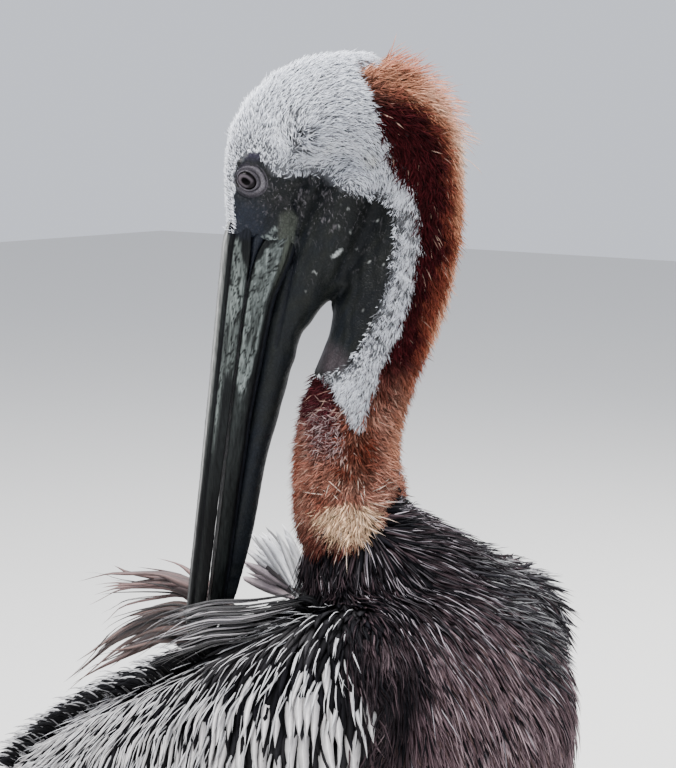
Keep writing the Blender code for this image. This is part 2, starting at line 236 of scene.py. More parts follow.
def alongNeck(forward, height):   # distance along the neck, distance outward and the way along
    line = neckLine()
    spans = np.diff(line, axis=0)
    lengths = np.linalg.norm(spans, axis=1)
    reached = np.concatenate([[0], np.cumsum(lengths)])
    spots = np.stack([forward, height], 1)
    best = np.full(len(spots), 1e9)
    run, outward = np.zeros(len(spots)), np.zeros(len(spots))
    way = np.zeros((len(spots), 2))
    for start, span, length, before in zip(line, spans, lengths, reached):
        ahead = span / length
        share = np.clip((spots - start) @ ahead, 0, length)
        gap = spots - start - share[:, None] * ahead
        distance = np.linalg.norm(gap, axis=1)
        closer = distance < best
        best[closer] = distance[closer]
        run[closer] = (before + share)[closer]
        outward[closer] = (gap @ np.array((-ahead[1], ahead[0])))[closer]
        way[closer] = ahead
    return run, outward, way


def insideBy(outline, forward, height):   # how far inside an outline, or outside it if negative
    spots = np.stack([forward, height], 1)
    nearest = np.full(len(spots), 1e9)
    inside = np.zeros(len(spots), bool)
    for start, end in zip(np.array(outline), np.roll(outline, -1, axis=0)):
        span = end - start
        nearest = np.minimum(nearest, segmentGap(spots, start, span))
        crosses = (start[1] > spots[:, 1]) != (end[1] > spots[:, 1])
        level = start[0] + span[0] * (spots[:, 1] - start[1]) / (span[1] if span[1] else 1e-9)
        inside ^= crosses & (spots[:, 0] < level)
    return np.where(inside, nearest, -nearest)


# lower border of the white cap, then the inner border of its stripe
capEdge = [(0.079, 0.204), (0.078, 0.212), (0.0765, 0.226), (0.074, 0.24), (0.0705, 0.247),
           (0.0655, 0.2515), (0.06, 0.2545), (0.056, 0.2535), (0.0545, 0.249), (0.0515, 0.245),
           (0.048, 0.2415), (0.044, 0.239), (0.038, 0.2385), (0.028, 0.238), (0.017, 0.236),
           (0.006, 0.231), (-0.01, 0.227), (-0.02, 0.225), (-0.025, 0.219), (-0.027, 0.21),
           (-0.026, 0.2), (-0.022, 0.179), (-0.019, 0.166), (-0.013, 0.154), (-0.005, 0.137),
           (0.0, 0.128), (0.008, 0.121), (0.018, 0.118)]
napeEdge = [(0.001, 0.33), (-0.001, 0.308), (-0.002, 0.299), (-0.008, 0.288), (-0.01, 0.278),
            (-0.016, 0.265), (-0.022, 0.253), (-0.03, 0.242), (-0.036, 0.233), (-0.04, 0.223),
            (-0.041, 0.209), (-0.041, 0.196), (-0.038, 0.184), (-0.037, 0.175), (-0.034, 0.162),
            (-0.026, 0.143), (-0.019, 0.131), (-0.014, 0.115), (-0.009, 0.102), (-0.006, 0.088),
            (-0.003, 0.088), (0.001, 0.094), (0.005, 0.102), (0.01, 0.112)]
bareOutline = capEdge + [(0.03, 0.116), (0.11, 0.1), (0.11, 0.204)]
whiteOutline = napeEdge + [(0.018, 0.118), (0.03, 0.122), (0.04, 0.19), (0.06, 0.197),
                           (0.12, 0.197), (0.12, 0.33)]
jawOutline = [(0.043, 0.199), (0.0425, 0.215), (0.0375, 0.218), (0.0305, 0.2145), (0.032, 0.205),
              (0.0365, 0.19), (0.042, 0.188)]
plateOutline = [(0.0445, 0.192), (0.0443, 0.207), (0.0458, 0.21), (0.0474, 0.2065), (0.05, 0.2035),
                (0.0545, 0.2015), (0.056, 0.192)]
ramusLine = [(0.0335, 0.222), (0.03, 0.213), (0.0335, 0.196), (0.04, 0.16), (0.0445, 0.135)]
gapeLine = [(0.06, 0.196), (0.056, 0.203), (0.05, 0.213), (0.044, 0.222)]
# spots of the head and neck, as forward and height
creamSpot, scarSpot, chinSpot = (0.0045, 0.033), (0.0085, 0.1925), (0.012, 0.128)
whorlSpot, ruffSpot, gapTop = (0.031, 0.262), (0.0035, 0.034), (0.0114, 0.162)


palette = {"white": (0.86, 0.885, 0.955), "maroon": (0.044, 0.0056, 0.0074), "chestnut": (0.2, 0.047, 0.028),
           "tan": (0.66, 0.3, 0.17), "pale": (0.9, 0.63, 0.47), "cream": (0.84, 0.575, 0.375),
           "black": (0.0065, 0.0062, 0.0085), "breast": (0.135, 0.085, 0.098), "streak": (0.42, 0.31, 0.33),
           "silver": (0.7, 0.67, 0.675), "hair": (0.74, 0.73, 0.75), "bare": (0.01, 0.012, 0.014),
           "brown": (0.13, 0.085, 0.07), "belly": (0.05, 0.036, 0.034), "rufous": (0.23, 0.032, 0.02),
           "crown": (0.42, 0.19, 0.125), "fawn": (0.54, 0.29, 0.215), "mottle": (0.135, 0.05, 0.05),
           "plum": (0.062, 0.012, 0.019), "slate": (0.005, 0.0066, 0.0088), "olive": (0.0085, 0.0098, 0.0088),
           "dust": (0.06, 0.054, 0.058), "scratch": (0.13, 0.12, 0.13), "brow": (0.022, 0.02, 0.034),
           "navy": (0.01, 0.014, 0.026), "chin": (0.034, 0.027, 0.031), "jaw": (0.05, 0.056, 0.046),
           "scar": (0.36, 0.38, 0.37), "speck": (0.25, 0.26, 0.25), "plate": (0.155, 0.18, 0.172),
           # groove and seam are painted shade, laid in grooves and creases
           "groove": (0.004, 0.005, 0.008), "seam": (0.003, 0.003, 0.004), "gum": (0.008, 0.009, 0.012)}
hues = SimpleNamespace(**{name: np.array(colour) for name, colour in palette.items()})


def ridgeHeight(points):   # where the back gives way to the side
    return 0.258 + 0.38 * points[:, 0]


def neckBorder(forward):   # height where the neck's chestnut ends above the black of the breast
    return np.interp(forward, [-0.04, -0.019, -0.01, 0.0, 0.011, 0.02, 0.032],
                     [0.047, 0.042, 0.029, 0.017, 0.013, 0.014, 0.016])


def zones(points):   # the share of each marking at every point
    forward, height, right = headCoordinates(points)
    _, outward, way = alongNeck(forward, height)
    border = neckBorder(forward) + 0.004 * ripple(points, 0.02, 3)
    neck = ease(-0.004, 0.004, height - border) * (np.abs(right) < 0.075)
    brow = forward + 0.015 * ease(0.017, 0.006, np.abs(right)) * ease(0.192, 0.21, height)
    bare = ease(-0.0012, 0.0012, insideBy(bareOutline, brow, height)
                + 0.001 * ripple(points, 0.006, 5)) * (height > 0.1)
    white = ease(-0.0012, 0.0012, insideBy(whiteOutline, brow, height)
                 + 0.0016 * ripple(points, 0.007, 9)) * (1 - bare)
    return SimpleNamespace(forward=forward, height=height, right=right, outward=outward, way=way,
                           neck=neck, bare=bare * neck, white=white * neck)


def mottling(forward, height):   # the dark patch high on the front of the neck
    return within(0.062, 0.078, 0.092, 0.107, height) * within(-0.001, 0.009, 0.018, 0.027, forward)


def neckColour(points, zone):
    forward, height, outward = zone.forward, zone.height, zone.outward
    wave = ripple(points, 0.018, 21)
    high = ease(0.17, 0.25, height)
    red = outward + 0.0065 * high - 0.001 + 0.003 * wave
    tan = outward + 0.0095 * high * (1 - 0.6 * ease(0.296, 0.318, height)) - 0.002 + 0.002 * wave
    crownward = ease(0.2, 0.25, height) * ease(0.304, 0.284, height)
    lightest = ease(0.026, 0.032, outward + 0.0135 * crownward - 0.003 + 0.002 * wave)
    crest = hues.pale * (1 - ease(0.255, 0.285, height)[:, None] * (0, 0.14, 0.2))
    upper = mixRows(hues.maroon, hues.chestnut * 0.6,
                    ease(0.4, 1.6, wave * 0.5 + ease(0.004, 0.026, outward)))
    upper = layered(upper, (hues.chestnut, ease(0.012, 0.021, red)), (hues.tan, ease(0.02, 0.027, tan)),
                    (crest, lightest * 0.9), (hues.crown, 0.6 * ease(0.28, 0.298, height)))
    fawn = 0.27 + 0.3 * ripple(points, 0.011, 23) + 0.28 * ease(0.002, -0.014, forward)
    shade = within(0.05, 0.066, 0.1, 0.116, height) * within(-0.016, -0.004, 0.007, 0.017, forward)
    plum = ease(0.08, 0.1, height) * within(0.002, 0.01, 0.026, 0.034, forward)
    lower = layered(hues.chestnut * 1.1, (hues.fawn, fawn),
                    (hues.tan, ease(0.01, 0.026, outward) * ease(0.045, 0.07, height) * 0.5),
                    (hues.mottle, mottling(forward, height) * 0.95),
                    (hues.chestnut * (0.62, 0.85, 0.9), shade * 0.6), (hues.plum, plum * 0.95))
    cream = (np.hypot((forward - creamSpot[0]) / 0.014, (height - creamSpot[1]) / 0.0118)
             + 0.16 * ripple(points, 0.007, 25))
    rufous = ease(0.004, 0.03, outward) * (1 - ease(0.03, 0.07, height)) * (cream > 1.1) * 0.35
    dusk = ease(0.036 + 0.016 * ease(0.012, 0.03, forward), 0.01, height) * ease(0.9, 1.15, cream)
    return layered(lower, (upper, ease(0.085, 0.135, height)), (hues.cream, 1 - ease(0.85, 1.2, cream)),
                   (hues.rufous, rufous), (hues.maroon, dusk * 0.9))


def wingFront(points):   # where each wing's silver gives way to the breast, as a place along the body
    right = np.interp(points[:, 2], [0.25, 0.315, 0.335, 0.35, 0.365], [0.22, 0.222, 0.197, 0.165, 0.12])
    left = np.interp(points[:, 2], [0.25, 0.33, 0.35, 0.365], [0.236, 0.234, 0.205, 0.15])
    return np.where(points[:, 1] < 0, right, left) + 0.004 * ripple(points, 0.035, 33)


def bodyColour(points):
    x, y, z = points.T
    reach = np.linalg.norm(points - neckFoot, axis=1)
    drop = ridgeHeight(points) - z
    front = x - wingFront(points)
    wave = ripple(points, 0.05, 31)
    black = 1 - ease(0.062, 0.108, reach - 0.1 * np.maximum(y + 0.03, 0) + 0.01 * wave)
    black = np.maximum(black, 0.9 * ease(0.02, 0.004, front) * (y < 0))
    breast = layered(hues.breast, (hues.brown, 0.35 + 0.3 * wave), (hues.black, black),
                     (hues.belly, ease(0.19, 0.13, z)))
    flank = mixRows(hues.black, hues.silver, ease(0.01, 0.045, drop) * 0.02)
    back = mixRows(hues.black, hues.silver, 0.05 + 0.03 * wave)
    wing = layered(flank, (back, ease(0.004, -0.012, drop)), (hues.brown * 0.8, ease(0.155, 0.125, z) * 0.8))
    return mixRows(breast, wing, ease(0.005, -0.005, front - 0.004 * wave) * ease(0.115, 0.15, z))


def coatColour(points, zone):
    return layered(bodyColour(points), (neckColour(points, zone), zone.neck),
                   (hues.white, zone.white), (hues.bare, zone.bare))


skinSpec = {"grow": 0.0004, "voxel": 0.0029, "smooth": 7, "bodyCoat": 0.008, "neckCoat": 0.0048,
            "capCoat": 0.003, "napeCoat": 0.007, "legCoat": 0.0035, "sunk": 0.0006}
fleshNodes = ["trunk", "neck_lower", "neck_upper", "head", "pouch", "thigh_left", "thigh_right",
              "wing_coverts_left", "wing_coverts_right"]


# which points lie on the pouch: those of the foreneck and throat that are near its solid
def onPouch(tree, points, zone, reach):
    mask = np.zeros(len(points))
    low = (zone.forward > 0.03) & (zone.height < 0.135) & (zone.height > -0.045)
    found = [tree.find_nearest(point, reach)[0] is not None for point in points[low].tolist()]
    mask[low] = found
    return mask


def copyOfNode(name, grow):
    def swell(bm):
        bmesh.ops.remove_doubles(bm, verts=bm.verts, dist=0.00002)
        bm.normal_update()
        for vert in bm.verts:
            vert.co += vert.normal * grow
    mesh = bpy.data.meshes.new(name + "Copy")
    editMesh(mesh, swell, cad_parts[name].data)
    return addObject(name + "Copy", mesh)


def treeOf(obj):
    return BVHTree.FromPolygons(vertexRows(obj).tolist(), triangleRows(obj).tolist())


def coatDepth(points, zone):
    nape = (zone.neck * (1 - zone.white) * ease(0.005, 0.025, zone.outward)
            * ease(0.12, 0.2, zone.height))
    depth = skinSpec["bodyCoat"]
    for coat, share in (("neckCoat", zone.neck), ("napeCoat", nape), ("capCoat", zone.white),
                        ("legCoat", ease(0.125, 0.1, points[:, 2]))):
        depth = depth + (skinSpec[coat] - depth) * share
    return depth * (1 - zone.bare)


# one skin for all the flesh, sunk by the depth of the coat and folded where it is bare
def buildSkin():
    copies = [copyOfNode(name, skinSpec["grow"]) for name in fleshNodes]
    pouchTree = treeOf(copies[fleshNodes.index("pouch")])
    makeActive(copies[0])
    for obj in copies:
        obj.select_set(True)
    bpy.ops.object.join()
    skin = bpy.context.view_layer.objects.active
    skin.name = "pelicanSkin"
    skin.data.name = "pelicanSkin"
    evenOut(skin, skinSpec["voxel"], skinSpec["smooth"])

    points = vertexRows(skin)
    zone = zones(points)
    bare = np.maximum(zone.bare, onPouch(pouchTree, points, zone, 0.0025)) > 0.5

    def refine(bm):   # finer faces where the skin is bare
        fine = [edge for edge in bm.edges if bare[edge.verts[0].index] and bare[edge.verts[1].index]]
        bmesh.ops.subdivide_edges(bm, edges=fine, cuts=1, use_grid_fill=True, smooth=0.2)
        bmesh.ops.triangulate(bm, faces=[face for face in bm.faces if len(face.verts) > 4])
    editMesh(skin.data, refine)
    skin.data.update()

    points, normals = vertexRows(skin), normalRows(skin)
    zone = zones(points)
    forward, height = zone.forward, zone.height
    pouch = onPouch(pouchTree, points, zone, 0.003)
    zone.bare = np.maximum(zone.bare, pouch)
    points = points - normals * (coatDepth(points, zone) + skinSpec["sunk"])[:, None]
    narrow = 0.24 * ease(0.24, 0.202, height) * ease(0.034, 0.056, forward) * (height > 0.18)
    points = points - (narrow * zone.right)[:, None] * across
    fuller = pouch * ease(0.075, 0.01, height) * 0.0045
    throatward = -(0.995 * heading + 0.1 * tiltedUp)
    points = points + (fuller * (normals @ throatward).clip(0, 1))[:, None] * throatward
    points = points + normals * (bareFolds(points, zone) * zone.bare)[:, None] + gapPull(zone)
    setVertexRows(skin, points)
    shadeSmooth(skin)
    # painted shade: the skin under the coat takes the coat's colour darkened, most of all under the white
    # cap, to stand for the shade beneath the feathers
    under = 0.45 - 0.33 * zone.white
    paint(skin, mixRows(coatColour(points, zone) * under[:, None], bareColour(points, zone), zone.bare))
    scuff = ease(0.2, 0.226, height) * within(-0.022, 0.006, 0.05, 0.066, forward)
    scuff = (scuff + 0.22 * ease(0.15, 0.18, height)).clip(0, 1)
    mark(skin, "scuff", "FLOAT", "value", zone.bare * scuff)
    return skin, pouch


def bareFolds(points, zone):
    forward, height = zone.forward, zone.height
    lengthwise = forward + 0.1 * height + 0.004 * ripple(points, 0.05, 41)
    fold = 0.00035 * np.sin(lengthwise * 2 * np.pi / 0.0085 + 1.5 * ripple(points, 0.04, 43))
    fold *= ease(0.045, 0.03, forward) * ease(0.225, 0.19, height)
    crinkle = 0.00022 * ripple(points, 0.0055, 45) * ease(0.19, 0.215, height)
    crinkle += 0.00018 * ripple(points, 0.0026, 46) * ease(0.14, 0.2, height)
    groove = -0.0014 * bell(distanceFromLine(ramusLine, forward, height), 0, 0.0013)
    wedge = -0.001 * bell(distanceFromLine(gapeLine, forward, height), 0, 0.0014)
    scar = 0.0008 * bell(forward, scarSpot[0], 0.0035) * bell(height, scarSpot[1], 0.0022)
    return fold + crinkle + groove + wedge + scar


def gapPull(zone):   # draws the top of the gap between neck and pouch out to a point
    offset = np.stack([zone.forward - gapTop[0], zone.height - gapTop[1]], 1)
    point = unit(np.array((-0.72, 0.7)))
    ahead, aside = offset @ point, offset @ np.array((point[1], -point[0]))
    share = np.where(ahead > 0, bell(ahead, 0, 0.011), ease(-0.022, 0.0, ahead))
    pull = 0.0078 * bell(aside, 0, 0.0034) * share
    pull = pull * (zone.height > 0.13) * (zone.forward < 0.04)
    return pull[:, None] * (point[0] * heading + point[1] * tiltedUp)


def readAt(spots, known, rows):   # rows read between the known ones, by straight lines
    return np.stack([np.interp(spots, known, column) for column in np.array(rows, float).T], 1)


def distanceFromLine(line, forward, height):
    spots = np.stack([forward, height], 1)
    pieces = zip(np.array(line), np.diff(line, axis=0))
    return np.min([segmentGap(spots, start, span) for start, span in pieces], axis=0)


def bareColour(points, zone):
    forward, height = zone.forward, zone.height
    wave = ripple(points, 0.012, 51)
    face = ease(0.205, 0.225, height) * ease(-0.005, 0.015, forward)
    face = face * ease(0.3, 1.1, ripple(points, 0.006, 53))
    slanted = np.stack([forward + 0.8 * height, 0.26 * (height - 0.8 * forward), 0 * forward], 1)
    slanted = slanted + 0.001 * ripple(points, 0.01, 56)[:, None]
    scratch = ease(0.95, 1.3, ripple(slanted, 0.0026, 54)) * ease(0.19, 0.215, height)
    scratch = scratch * within(-0.018, 0.002, 0.05, 0.062, forward)
    brow = ease(0.247, 0.253, height) * ease(0.046, 0.052, forward)
    navy = ease(0.04, 0.06, forward) * ease(0.235, 0.215, height) * (0.15 + 0.45 * ease(0.13, 0.19, height))
    chin = ease(0.4, 1.2, np.hypot((forward - chinSpot[0]) / 0.01, (height - chinSpot[1]) / 0.012))
    jaw = ease(-0.0025, 0.0015, insideBy(jawOutline, forward, height) + 0.0006 * ripple(points, 0.005, 55))
    scar = np.hypot((forward - scarSpot[0]) / 0.0042,
                    (height - scarSpot[1] - 0.6 * (scarSpot[0] - forward)) / 0.002)
    specks = ease(1.45, 1.7, ripple(points, 0.0042, 57)) * ease(0.035, 0.02, forward)
    specks = specks * ease(0.15, 0.17, height)
    plate = insideBy(plateOutline, forward, height) + 0.0006 * ripple(points, 0.0018, 58)
    plate = ease(-0.0005, 0.0006, plate) * ease(-0.7, 0.1, ripple(points, 0.0011, 59))
    # painted shade along the groove beside the lower mandible
    groove = bell(distanceFromLine(ramusLine, forward, height), 0, 0.0012)
    colour = layered(hues.slate, (hues.olive, 0.5 + 0.4 * wave), (hues.dust, face * 0.3),
                     (hues.scratch, scratch * 0.7), (hues.brow, brow))
    colour = colour * (1 - 0.45 * ease(0.01, -0.006, forward))[:, None]
    colour = layered(colour, (hues.navy, navy), (hues.chin, (1 - chin) * (0.65 + 0.25 * wave)),
                     (hues.jaw, jaw * 0.9), (hues.scar, 1 - ease(0.5, 1.1, scar)),
                     (hues.speck, specks * 0.7), (hues.plate, plate * 0.9),
                     (hues.groove, groove * 0.9))
    return colour * (1 - 0.22 * ease(0.2, 0.22, height) * (forward < 0.052))[:, None]


class Ground:   # the skin as the coat sees it
    def __init__(self, skin):
        self.tree = treeOf(skin)
        self.points, self.normals, self.triangles = vertexRows(skin), normalRows(skin), triangleRows(skin)
        corners = self.points[self.triangles]
        self.middles = corners.mean(1)
        self.middleNormals = unit(self.normals[self.triangles].mean(1))
        crossed = np.cross(corners[:, 1] - corners[:, 0], corners[:, 2] - corners[:, 0])
        self.areas = np.linalg.norm(crossed, axis=1) / 2

    def scatter(self, weights, count, seed):   # roots, their normals, the way the coat lies and its zone
        rng = np.random.default_rng(seed)
        total = np.cumsum(weights * self.areas)
        which = np.searchsorted(total, (np.arange(count) + rng.random(count)) / count * total[-1])
        which = np.minimum(which, len(total) - 1)
        first, second = rng.random(count), rng.random(count)
        over = first + second > 1
        first[over], second[over] = 1 - first[over], 1 - second[over]
        shares = np.stack([1 - first - second, first, second], 1)[:, :, None]
        picked = self.triangles[which]
        points = (self.points[picked] * shares).sum(1)
        normals = unit((self.normals[picked] * shares).sum(1))
        return points, normals, *lieOfCoat(points, normals)

    def nearest(self, points):
        found = [self.tree.find_nearest(point) for point in points.tolist()]
        return np.array([item[0][:] for item in found]), np.array([item[1][:] for item in found])


def flat(ways, normals):   # laid down along the skin
    return unit(ways - (ways * normals).sum(-1, keepdims=True) * normals)


def lieOfCoat(points, normals):
    zone = zones(points)
    height, outward, way = zone.height, zone.outward, zone.way
    offset = points - neckFoot
    radial = unit(offset)
    x, _, z = points.T
    drift = 0.5 * normals[:, 2].clip(0, 1) - 0.05 - 0.55 * ease(0.11, -0.08, x)
    flank = mixRows(np.stack([drift, 0 * x, 0 * x - 1], 1), (-0.95, 0, -0.22), ease(0.235, 0.165, z))
    side = mixRows(unit(flank), (-1.0, 0, -0.15), ease(0.82, 0.97, normals[:, 2]))
    front = mixRows(unit(radial + (0, 0, -0.35)), (-0.55, 0, -0.5), ease(0.24, 0.15, z))
    near = ease(0.105, 0.055, np.linalg.norm(offset, axis=1))
    body = layered(side, (front, ease(-0.012, 0.014, x - wingFront(points))),
                   ((-1.0, 0, 0.12), ease(-0.3, -0.8, normals[:, 2])))
    body = mixRows(unit(body), radial + (0, 0, -0.3), near)
    climb = mixRows(upward, tiltedUp, ease(0.13, 0.23, height))
    dorsal = way[:, 1:] * -heading + way[:, :1] * climb
    bristle = (0.55 + 0.5 * ease(0.15, 0.09, height)) * (1 - zone.white)
    bristle *= 1 + 0.9 * ease(0.12, 0.09, height) * (outward > 0)
    tilt = np.clip(outward / 0.012, -1, 1) * bristle
    neck = unit(tilt[:, None] * dorsal - way[:, :1] * heading - way[:, 1:] * climb)
    neckShare = ease(-0.012, 0.03, height) * (np.abs(zone.right) < 0.08)
    return flat(mixRows(unit(body), neck, neckShare), normals), zone


def unwrap(points, part):   # where a root lies on the skin's own unwrap, by turn round it and length along it
    if part == "body":
        turn = np.arctan2(points[:, 1], points[:, 2] - (0.21 + 0.22 * points[:, 0]))
        along = (points[:, 0] + 0.3) / 0.6
    else:
        forward, height, right = headCoordinates(points)
        run, outward, _ = alongNeck(forward, height)
        turn = np.arctan2(right, outward)
        along = run / 0.46
    return np.stack([0.5 + turn / (2 * np.pi) * 0.98, 0.01 + 0.98 * np.clip(along, 0, 1)], 1)


featherRings = {4: [(-1, 0), (0, 1), (1, 0), (0, -0.6)],   # corners aside and above, by their number
                3: [(-1, -0.3), (0, 1), (1, -0.3)]}


# spines that start in the skin and follow it: one row of points for each feather
def combed(ground, points, normals, ways, lengths, heights, stations, sink=0.0008, curl=0.0):
    spine, lifts, sides = [points - sink * normals], [normals], [np.cross(ways, normals)]
    spot, way = points, ways
    shares = np.linspace(0, 1, stations)
    for before, share in zip(shares, shares[1:]):
        spot = spot + way * (lengths * (share - before))[:, None]
        found, normal = ground.nearest(spot)
        normal = np.where(((normal * lifts[-1]).sum(1) > 0.2)[:, None], normal, lifts[-1])
        way = flat(way + curl * np.cross(way, normal), normal)
        spot = found
        rise = heights * (share ** 0.75)
        spine.append(found + normal * rise[:, None])
        lifts.append(normal)
        sides.append(np.cross(way, normal))
    return np.stack(spine, 1), np.stack(lifts, 1), unit(np.stack(sides, 1))


# short spines that stand at an angle to the skin and bend back towards it
def straightSpines(points, normals, ways, lengths, lift, bend, stations, sink=0.0006):
    spine, lifts, sides = [], [], []
    side = np.cross(ways, normals)
    for share in np.linspace(0, 1, stations):
        angle = lift - bend * share
        run = lengths * share
        along = np.cos(lift - bend * share / 2) * run
        rise = np.sin(lift - bend * share / 2) * run
        spine.append(points + ways * along[:, None] + normals * (rise - sink)[:, None])
        lifts.append(unit(normals * np.cos(angle)[:, None] - ways * np.sin(angle)[:, None]))
        sides.append(side)
    return np.stack(spine, 1), np.stack(lifts, 1), np.stack(sides, 1)


# closed feathers along their spines, as one joined mesh with its colours and its unwrap
def vanes(name, spines, widths, shape, thick, tints, roots, part, sides=4, fade=1.0):
    (spine, lifts, widthWays), (base, tip, edge), ring = spines, tints, featherRings[sides]
    count, stations = spine.shape[:2]
    last = (stations - 1) * sides
    points, vane, tint = np.zeros((3, count, last + 1, 3))
    shares = np.linspace(0, 1, stations)
    for spot in range(last):
        station, (aside, above) = spot // sides, ring[spot % sides]
        half = widths * shape[station] / 2
        rise = above * np.minimum(thick / 2, half + 0.0001)
        points[:, spot] = (spine[:, station] + widthWays[:, station] * (aside * half)[:, None]
                           + lifts[:, station] * rise[:, None])
        vane[:, spot, :2] = (aside, shares[station])
        tint[:, spot] = layered(base, (tip, shares[station] ** fade),
                                (edge, abs(aside) * shares[station] ** 0.5))
    points[:, -1] = spine[:, -1]
    vane[:, -1] = (0, 1, 0)
    tint[:, -1] = tip
    vane[:, :, 2] = np.random.default_rng(len(name) + count).random(count)[:, None]

    faces = []
    for spot in range(last):
        after = spot + 1 if (spot + 1) % sides else spot + 1 - sides
        beyond = [after + sides, spot + sides] if spot < last - sides else [last]
        faces.append([spot, after, *beyond])
    faces.append(list(reversed(range(sides))))
    loops = np.concatenate(faces)
    starts = np.cumsum([0] + [len(face) for face in faces[:-1]])
    numbers = np.arange(count)[:, None]
    allLoops = (loops + numbers * (last + 1)).ravel()
    obj = meshObject(name, points.reshape(-1, 3), allLoops, (starts + numbers * len(loops)).ravel())
    paint(obj, tint.reshape(-1, 3))
    mark(obj, "vane", "FLOAT_VECTOR", "vector", vane)
    patch = unwrap(roots, part)[:, None, :] + 0.0015 * np.stack([vane[:, :, 0], 2 * vane[:, :, 1] - 1], 2)
    uv = obj.data.uv_layers.new(name="OFBake")
    uv.data.foreach_set("uv", patch.reshape(-1, 2)[allLoops].astype(np.float32).ravel())
    return obj


# the feathers of one piece with their coat: look holds roughness, sheen, barbs and shine
def plant(name, spines, widths, shape, thick, tints, roots, part, look, slot, replaced=(), coat=None, **form):
    obj = vanes(name, spines, widths, shape, thick, tints, roots, part, **form)
    settle(obj, coatMaterial(coat or name + "Coat", *look), replaced)


# half widths of the feathers at their stations, from root to tip
hairShape = [0.9, 0.8, 0.0]
wispShape = [0.9, 1.0, 0.85, 0.55, 0.0]
vaneShape = [0.35, 0.85, 1.0, 0.72, 0.0]
lanceShape = [0.3, 0.8, 1.0, 0.88, 0.52, 0.0]
combShape = [0.4, 0.8, 1.0, 1.0, 0.8, 0.45, 0.0]
lensShape = [0.25, 0.55, 0.82, 0.97, 1.0, 0.9, 0.66, 0.34, 0.0]
fanShape = [0.25, 0.55, 0.8, 0.95, 1.0, 0.92, 0.75, 0.45, 0.0]
flightShape = [0.5, 0.75, 0.9, 1.0, 1.0, 1.0, 0.98, 0.95, 0.9, 0.82, 0.7, 0.46, 0.0]
tailShape = [0.5, 0.65, 0.8, 0.9, 0.95, 1.0, 1.0, 1.0, 1.0, 0.98, 0.94, 0.8, 0.3, 0.0]
plumeShape = [0.2, 0.5, 0.75, 0.9, 1.0, 0.98, 0.9, 0.8, 0.68, 0.55, 0.42, 0.28, 0.15, 0.0]


def shaken(ways, normals, amount, rng):   # each way turned a little about its normal
    turn = rng.normal(0, amount, len(ways))[:, None]
    return unit(ways * np.cos(turn) + np.cross(normals, ways) * np.sin(turn))


def spaced(points, ways, asides, runs):   # the roots to keep so that none crowds another
    kept = []
    for number, (point, way) in enumerate(zip(points, ways)):
        offset = points[kept] - point
        run = offset @ way
        aside = np.linalg.norm(offset - run[:, None] * way, axis=1) if kept else run
        if not kept or ((run / runs[number]) ** 2 + (aside / asides[number]) ** 2).min() > 1:
            kept.append(number)
    return kept


capSpec = {"capFeathers": {"count": 18000, "length": (0.0042, 0.0075), "width": (0.0005, 0.0009)},
           "stripeFeathers": {"count": 15600, "length": (0.0046, 0.0072), "width": (0.0004, 0.0007)},
           "lift": 26, "bend": 18, "seed": 11, "look": (0.72, 0.08)}


def growCap(ground):
    zone = zones(ground.middles)
    gaps = ease(0.9, 1.6, ripple(ground.middles, 0.016, 61))
    low = ease(0.236, 0.222, zone.height) * (zone.forward < 0.04)
    centre = np.hypot(zone.forward - whorlSpot[0], zone.height - whorlSpot[1])
    for name, share in (("capFeathers", 1 - low), ("stripeFeathers", low)):
        spec, seed, stripe = capSpec[name], capSpec["seed"] + len(name), name == "stripeFeathers"
        rng, count = np.random.default_rng(seed), spec["count"]
        weight = (zone.white > 0.25) * (1 - 0.4 * gaps) * share * (1 + 0.9 * ease(0.012, 0.002, centre))
        points, normals, ways, near = ground.scatter(weight, count, seed)
        whorl = np.stack([near.forward - whorlSpot[0], near.height - whorlSpot[1]], 1)
        apart = np.linalg.norm(whorl, axis=1)
        spread = unit(whorl[:, :1] * heading + whorl[:, 1:] * tiltedUp)
        ways = mixRows(ways, spread, 0.5 * ease(0.026, 0.01, apart) * ease(0.001, 0.006, apart))
        ways = shaken(flat(ways, normals), normals, 0.9 * ease(0.007, 0.002, apart), rng)
        border = -insideBy(bareOutline, near.forward, near.height)
        nearBorder = ease(0.01, 0.002, border)
        ways = shaken(ways, normals, 0.3 + 0.25 * nearBorder, rng)
        face = ease(0.05, 0.066, near.forward)
        lengths = rng.uniform(*spec["length"], count) * (1 - 0.1 * face)
        lengths *= (1 - 0.35 * nearBorder) * (1 + 0.3 * ease(0.014, 0.004, apart))
        lift = np.radians(capSpec["lift"] + rng.normal(0, 9, count) + 24 * face + 3 * stripe
                          + 42 * ease(0.008, 0.002, apart))
        spines = straightSpines(points, normals, ways, lengths, lift, np.radians(capSpec["bend"]), 3)
        shade = 0.88 + 0.2 * rng.random(count) ** 0.6 + 0.06 * ripple(points, 0.03, 63)
        inner = ease(0.02, 0.006, border) * ease(0.11, 0.15, near.height)
        # painted shade: some feathers are darkened almost to black to stand for the shaded gaps between
        # feathers, most at the whorl, in the stripe and near the bare border
        dark = (0.07 + 0.3 * ease(0.026, 0.006, apart) + stripe * (0.22 + 0.35 * inner)
                + 0.22 * nearBorder * (1 - face))
        gapShaded = rng.random(count) < dark * ease(-0.6, 1.0, ripple(points * (1, 1, 0.5), 0.003, 64)) * 1.6
        shade = np.where(gapShaded, shade * rng.uniform(0.02, 0.3, count), shade)
        yellow = ease(0.3, 1.2, ripple(points, 0.028, 65)) * ease(0.27, 0.24, near.height)
        tip = hues.white * shade[:, None] * mixRows((1, 1, 1), (1.0, 0.985, 0.9), yellow)
        plant(name, spines, rng.uniform(*spec["width"], count), hairShape, 0.0005, (tip * 0.25, tip, tip),
              points, "neck", capSpec["look"], "white_plumage", sides=3, fade=0.45)


neckSpec = {"count": 18000, "length": (0.0065, 0.0115), "width": (0.00062, 0.00114), "lift": 30, "bend": 26,
            "seed": 12, "look": (0.85, 0.0, 22, 0.06), "bands": (("napeFeathers", 0.105, 1.0),
                                                                ("neckFeathers", -1.0, 0.105))}


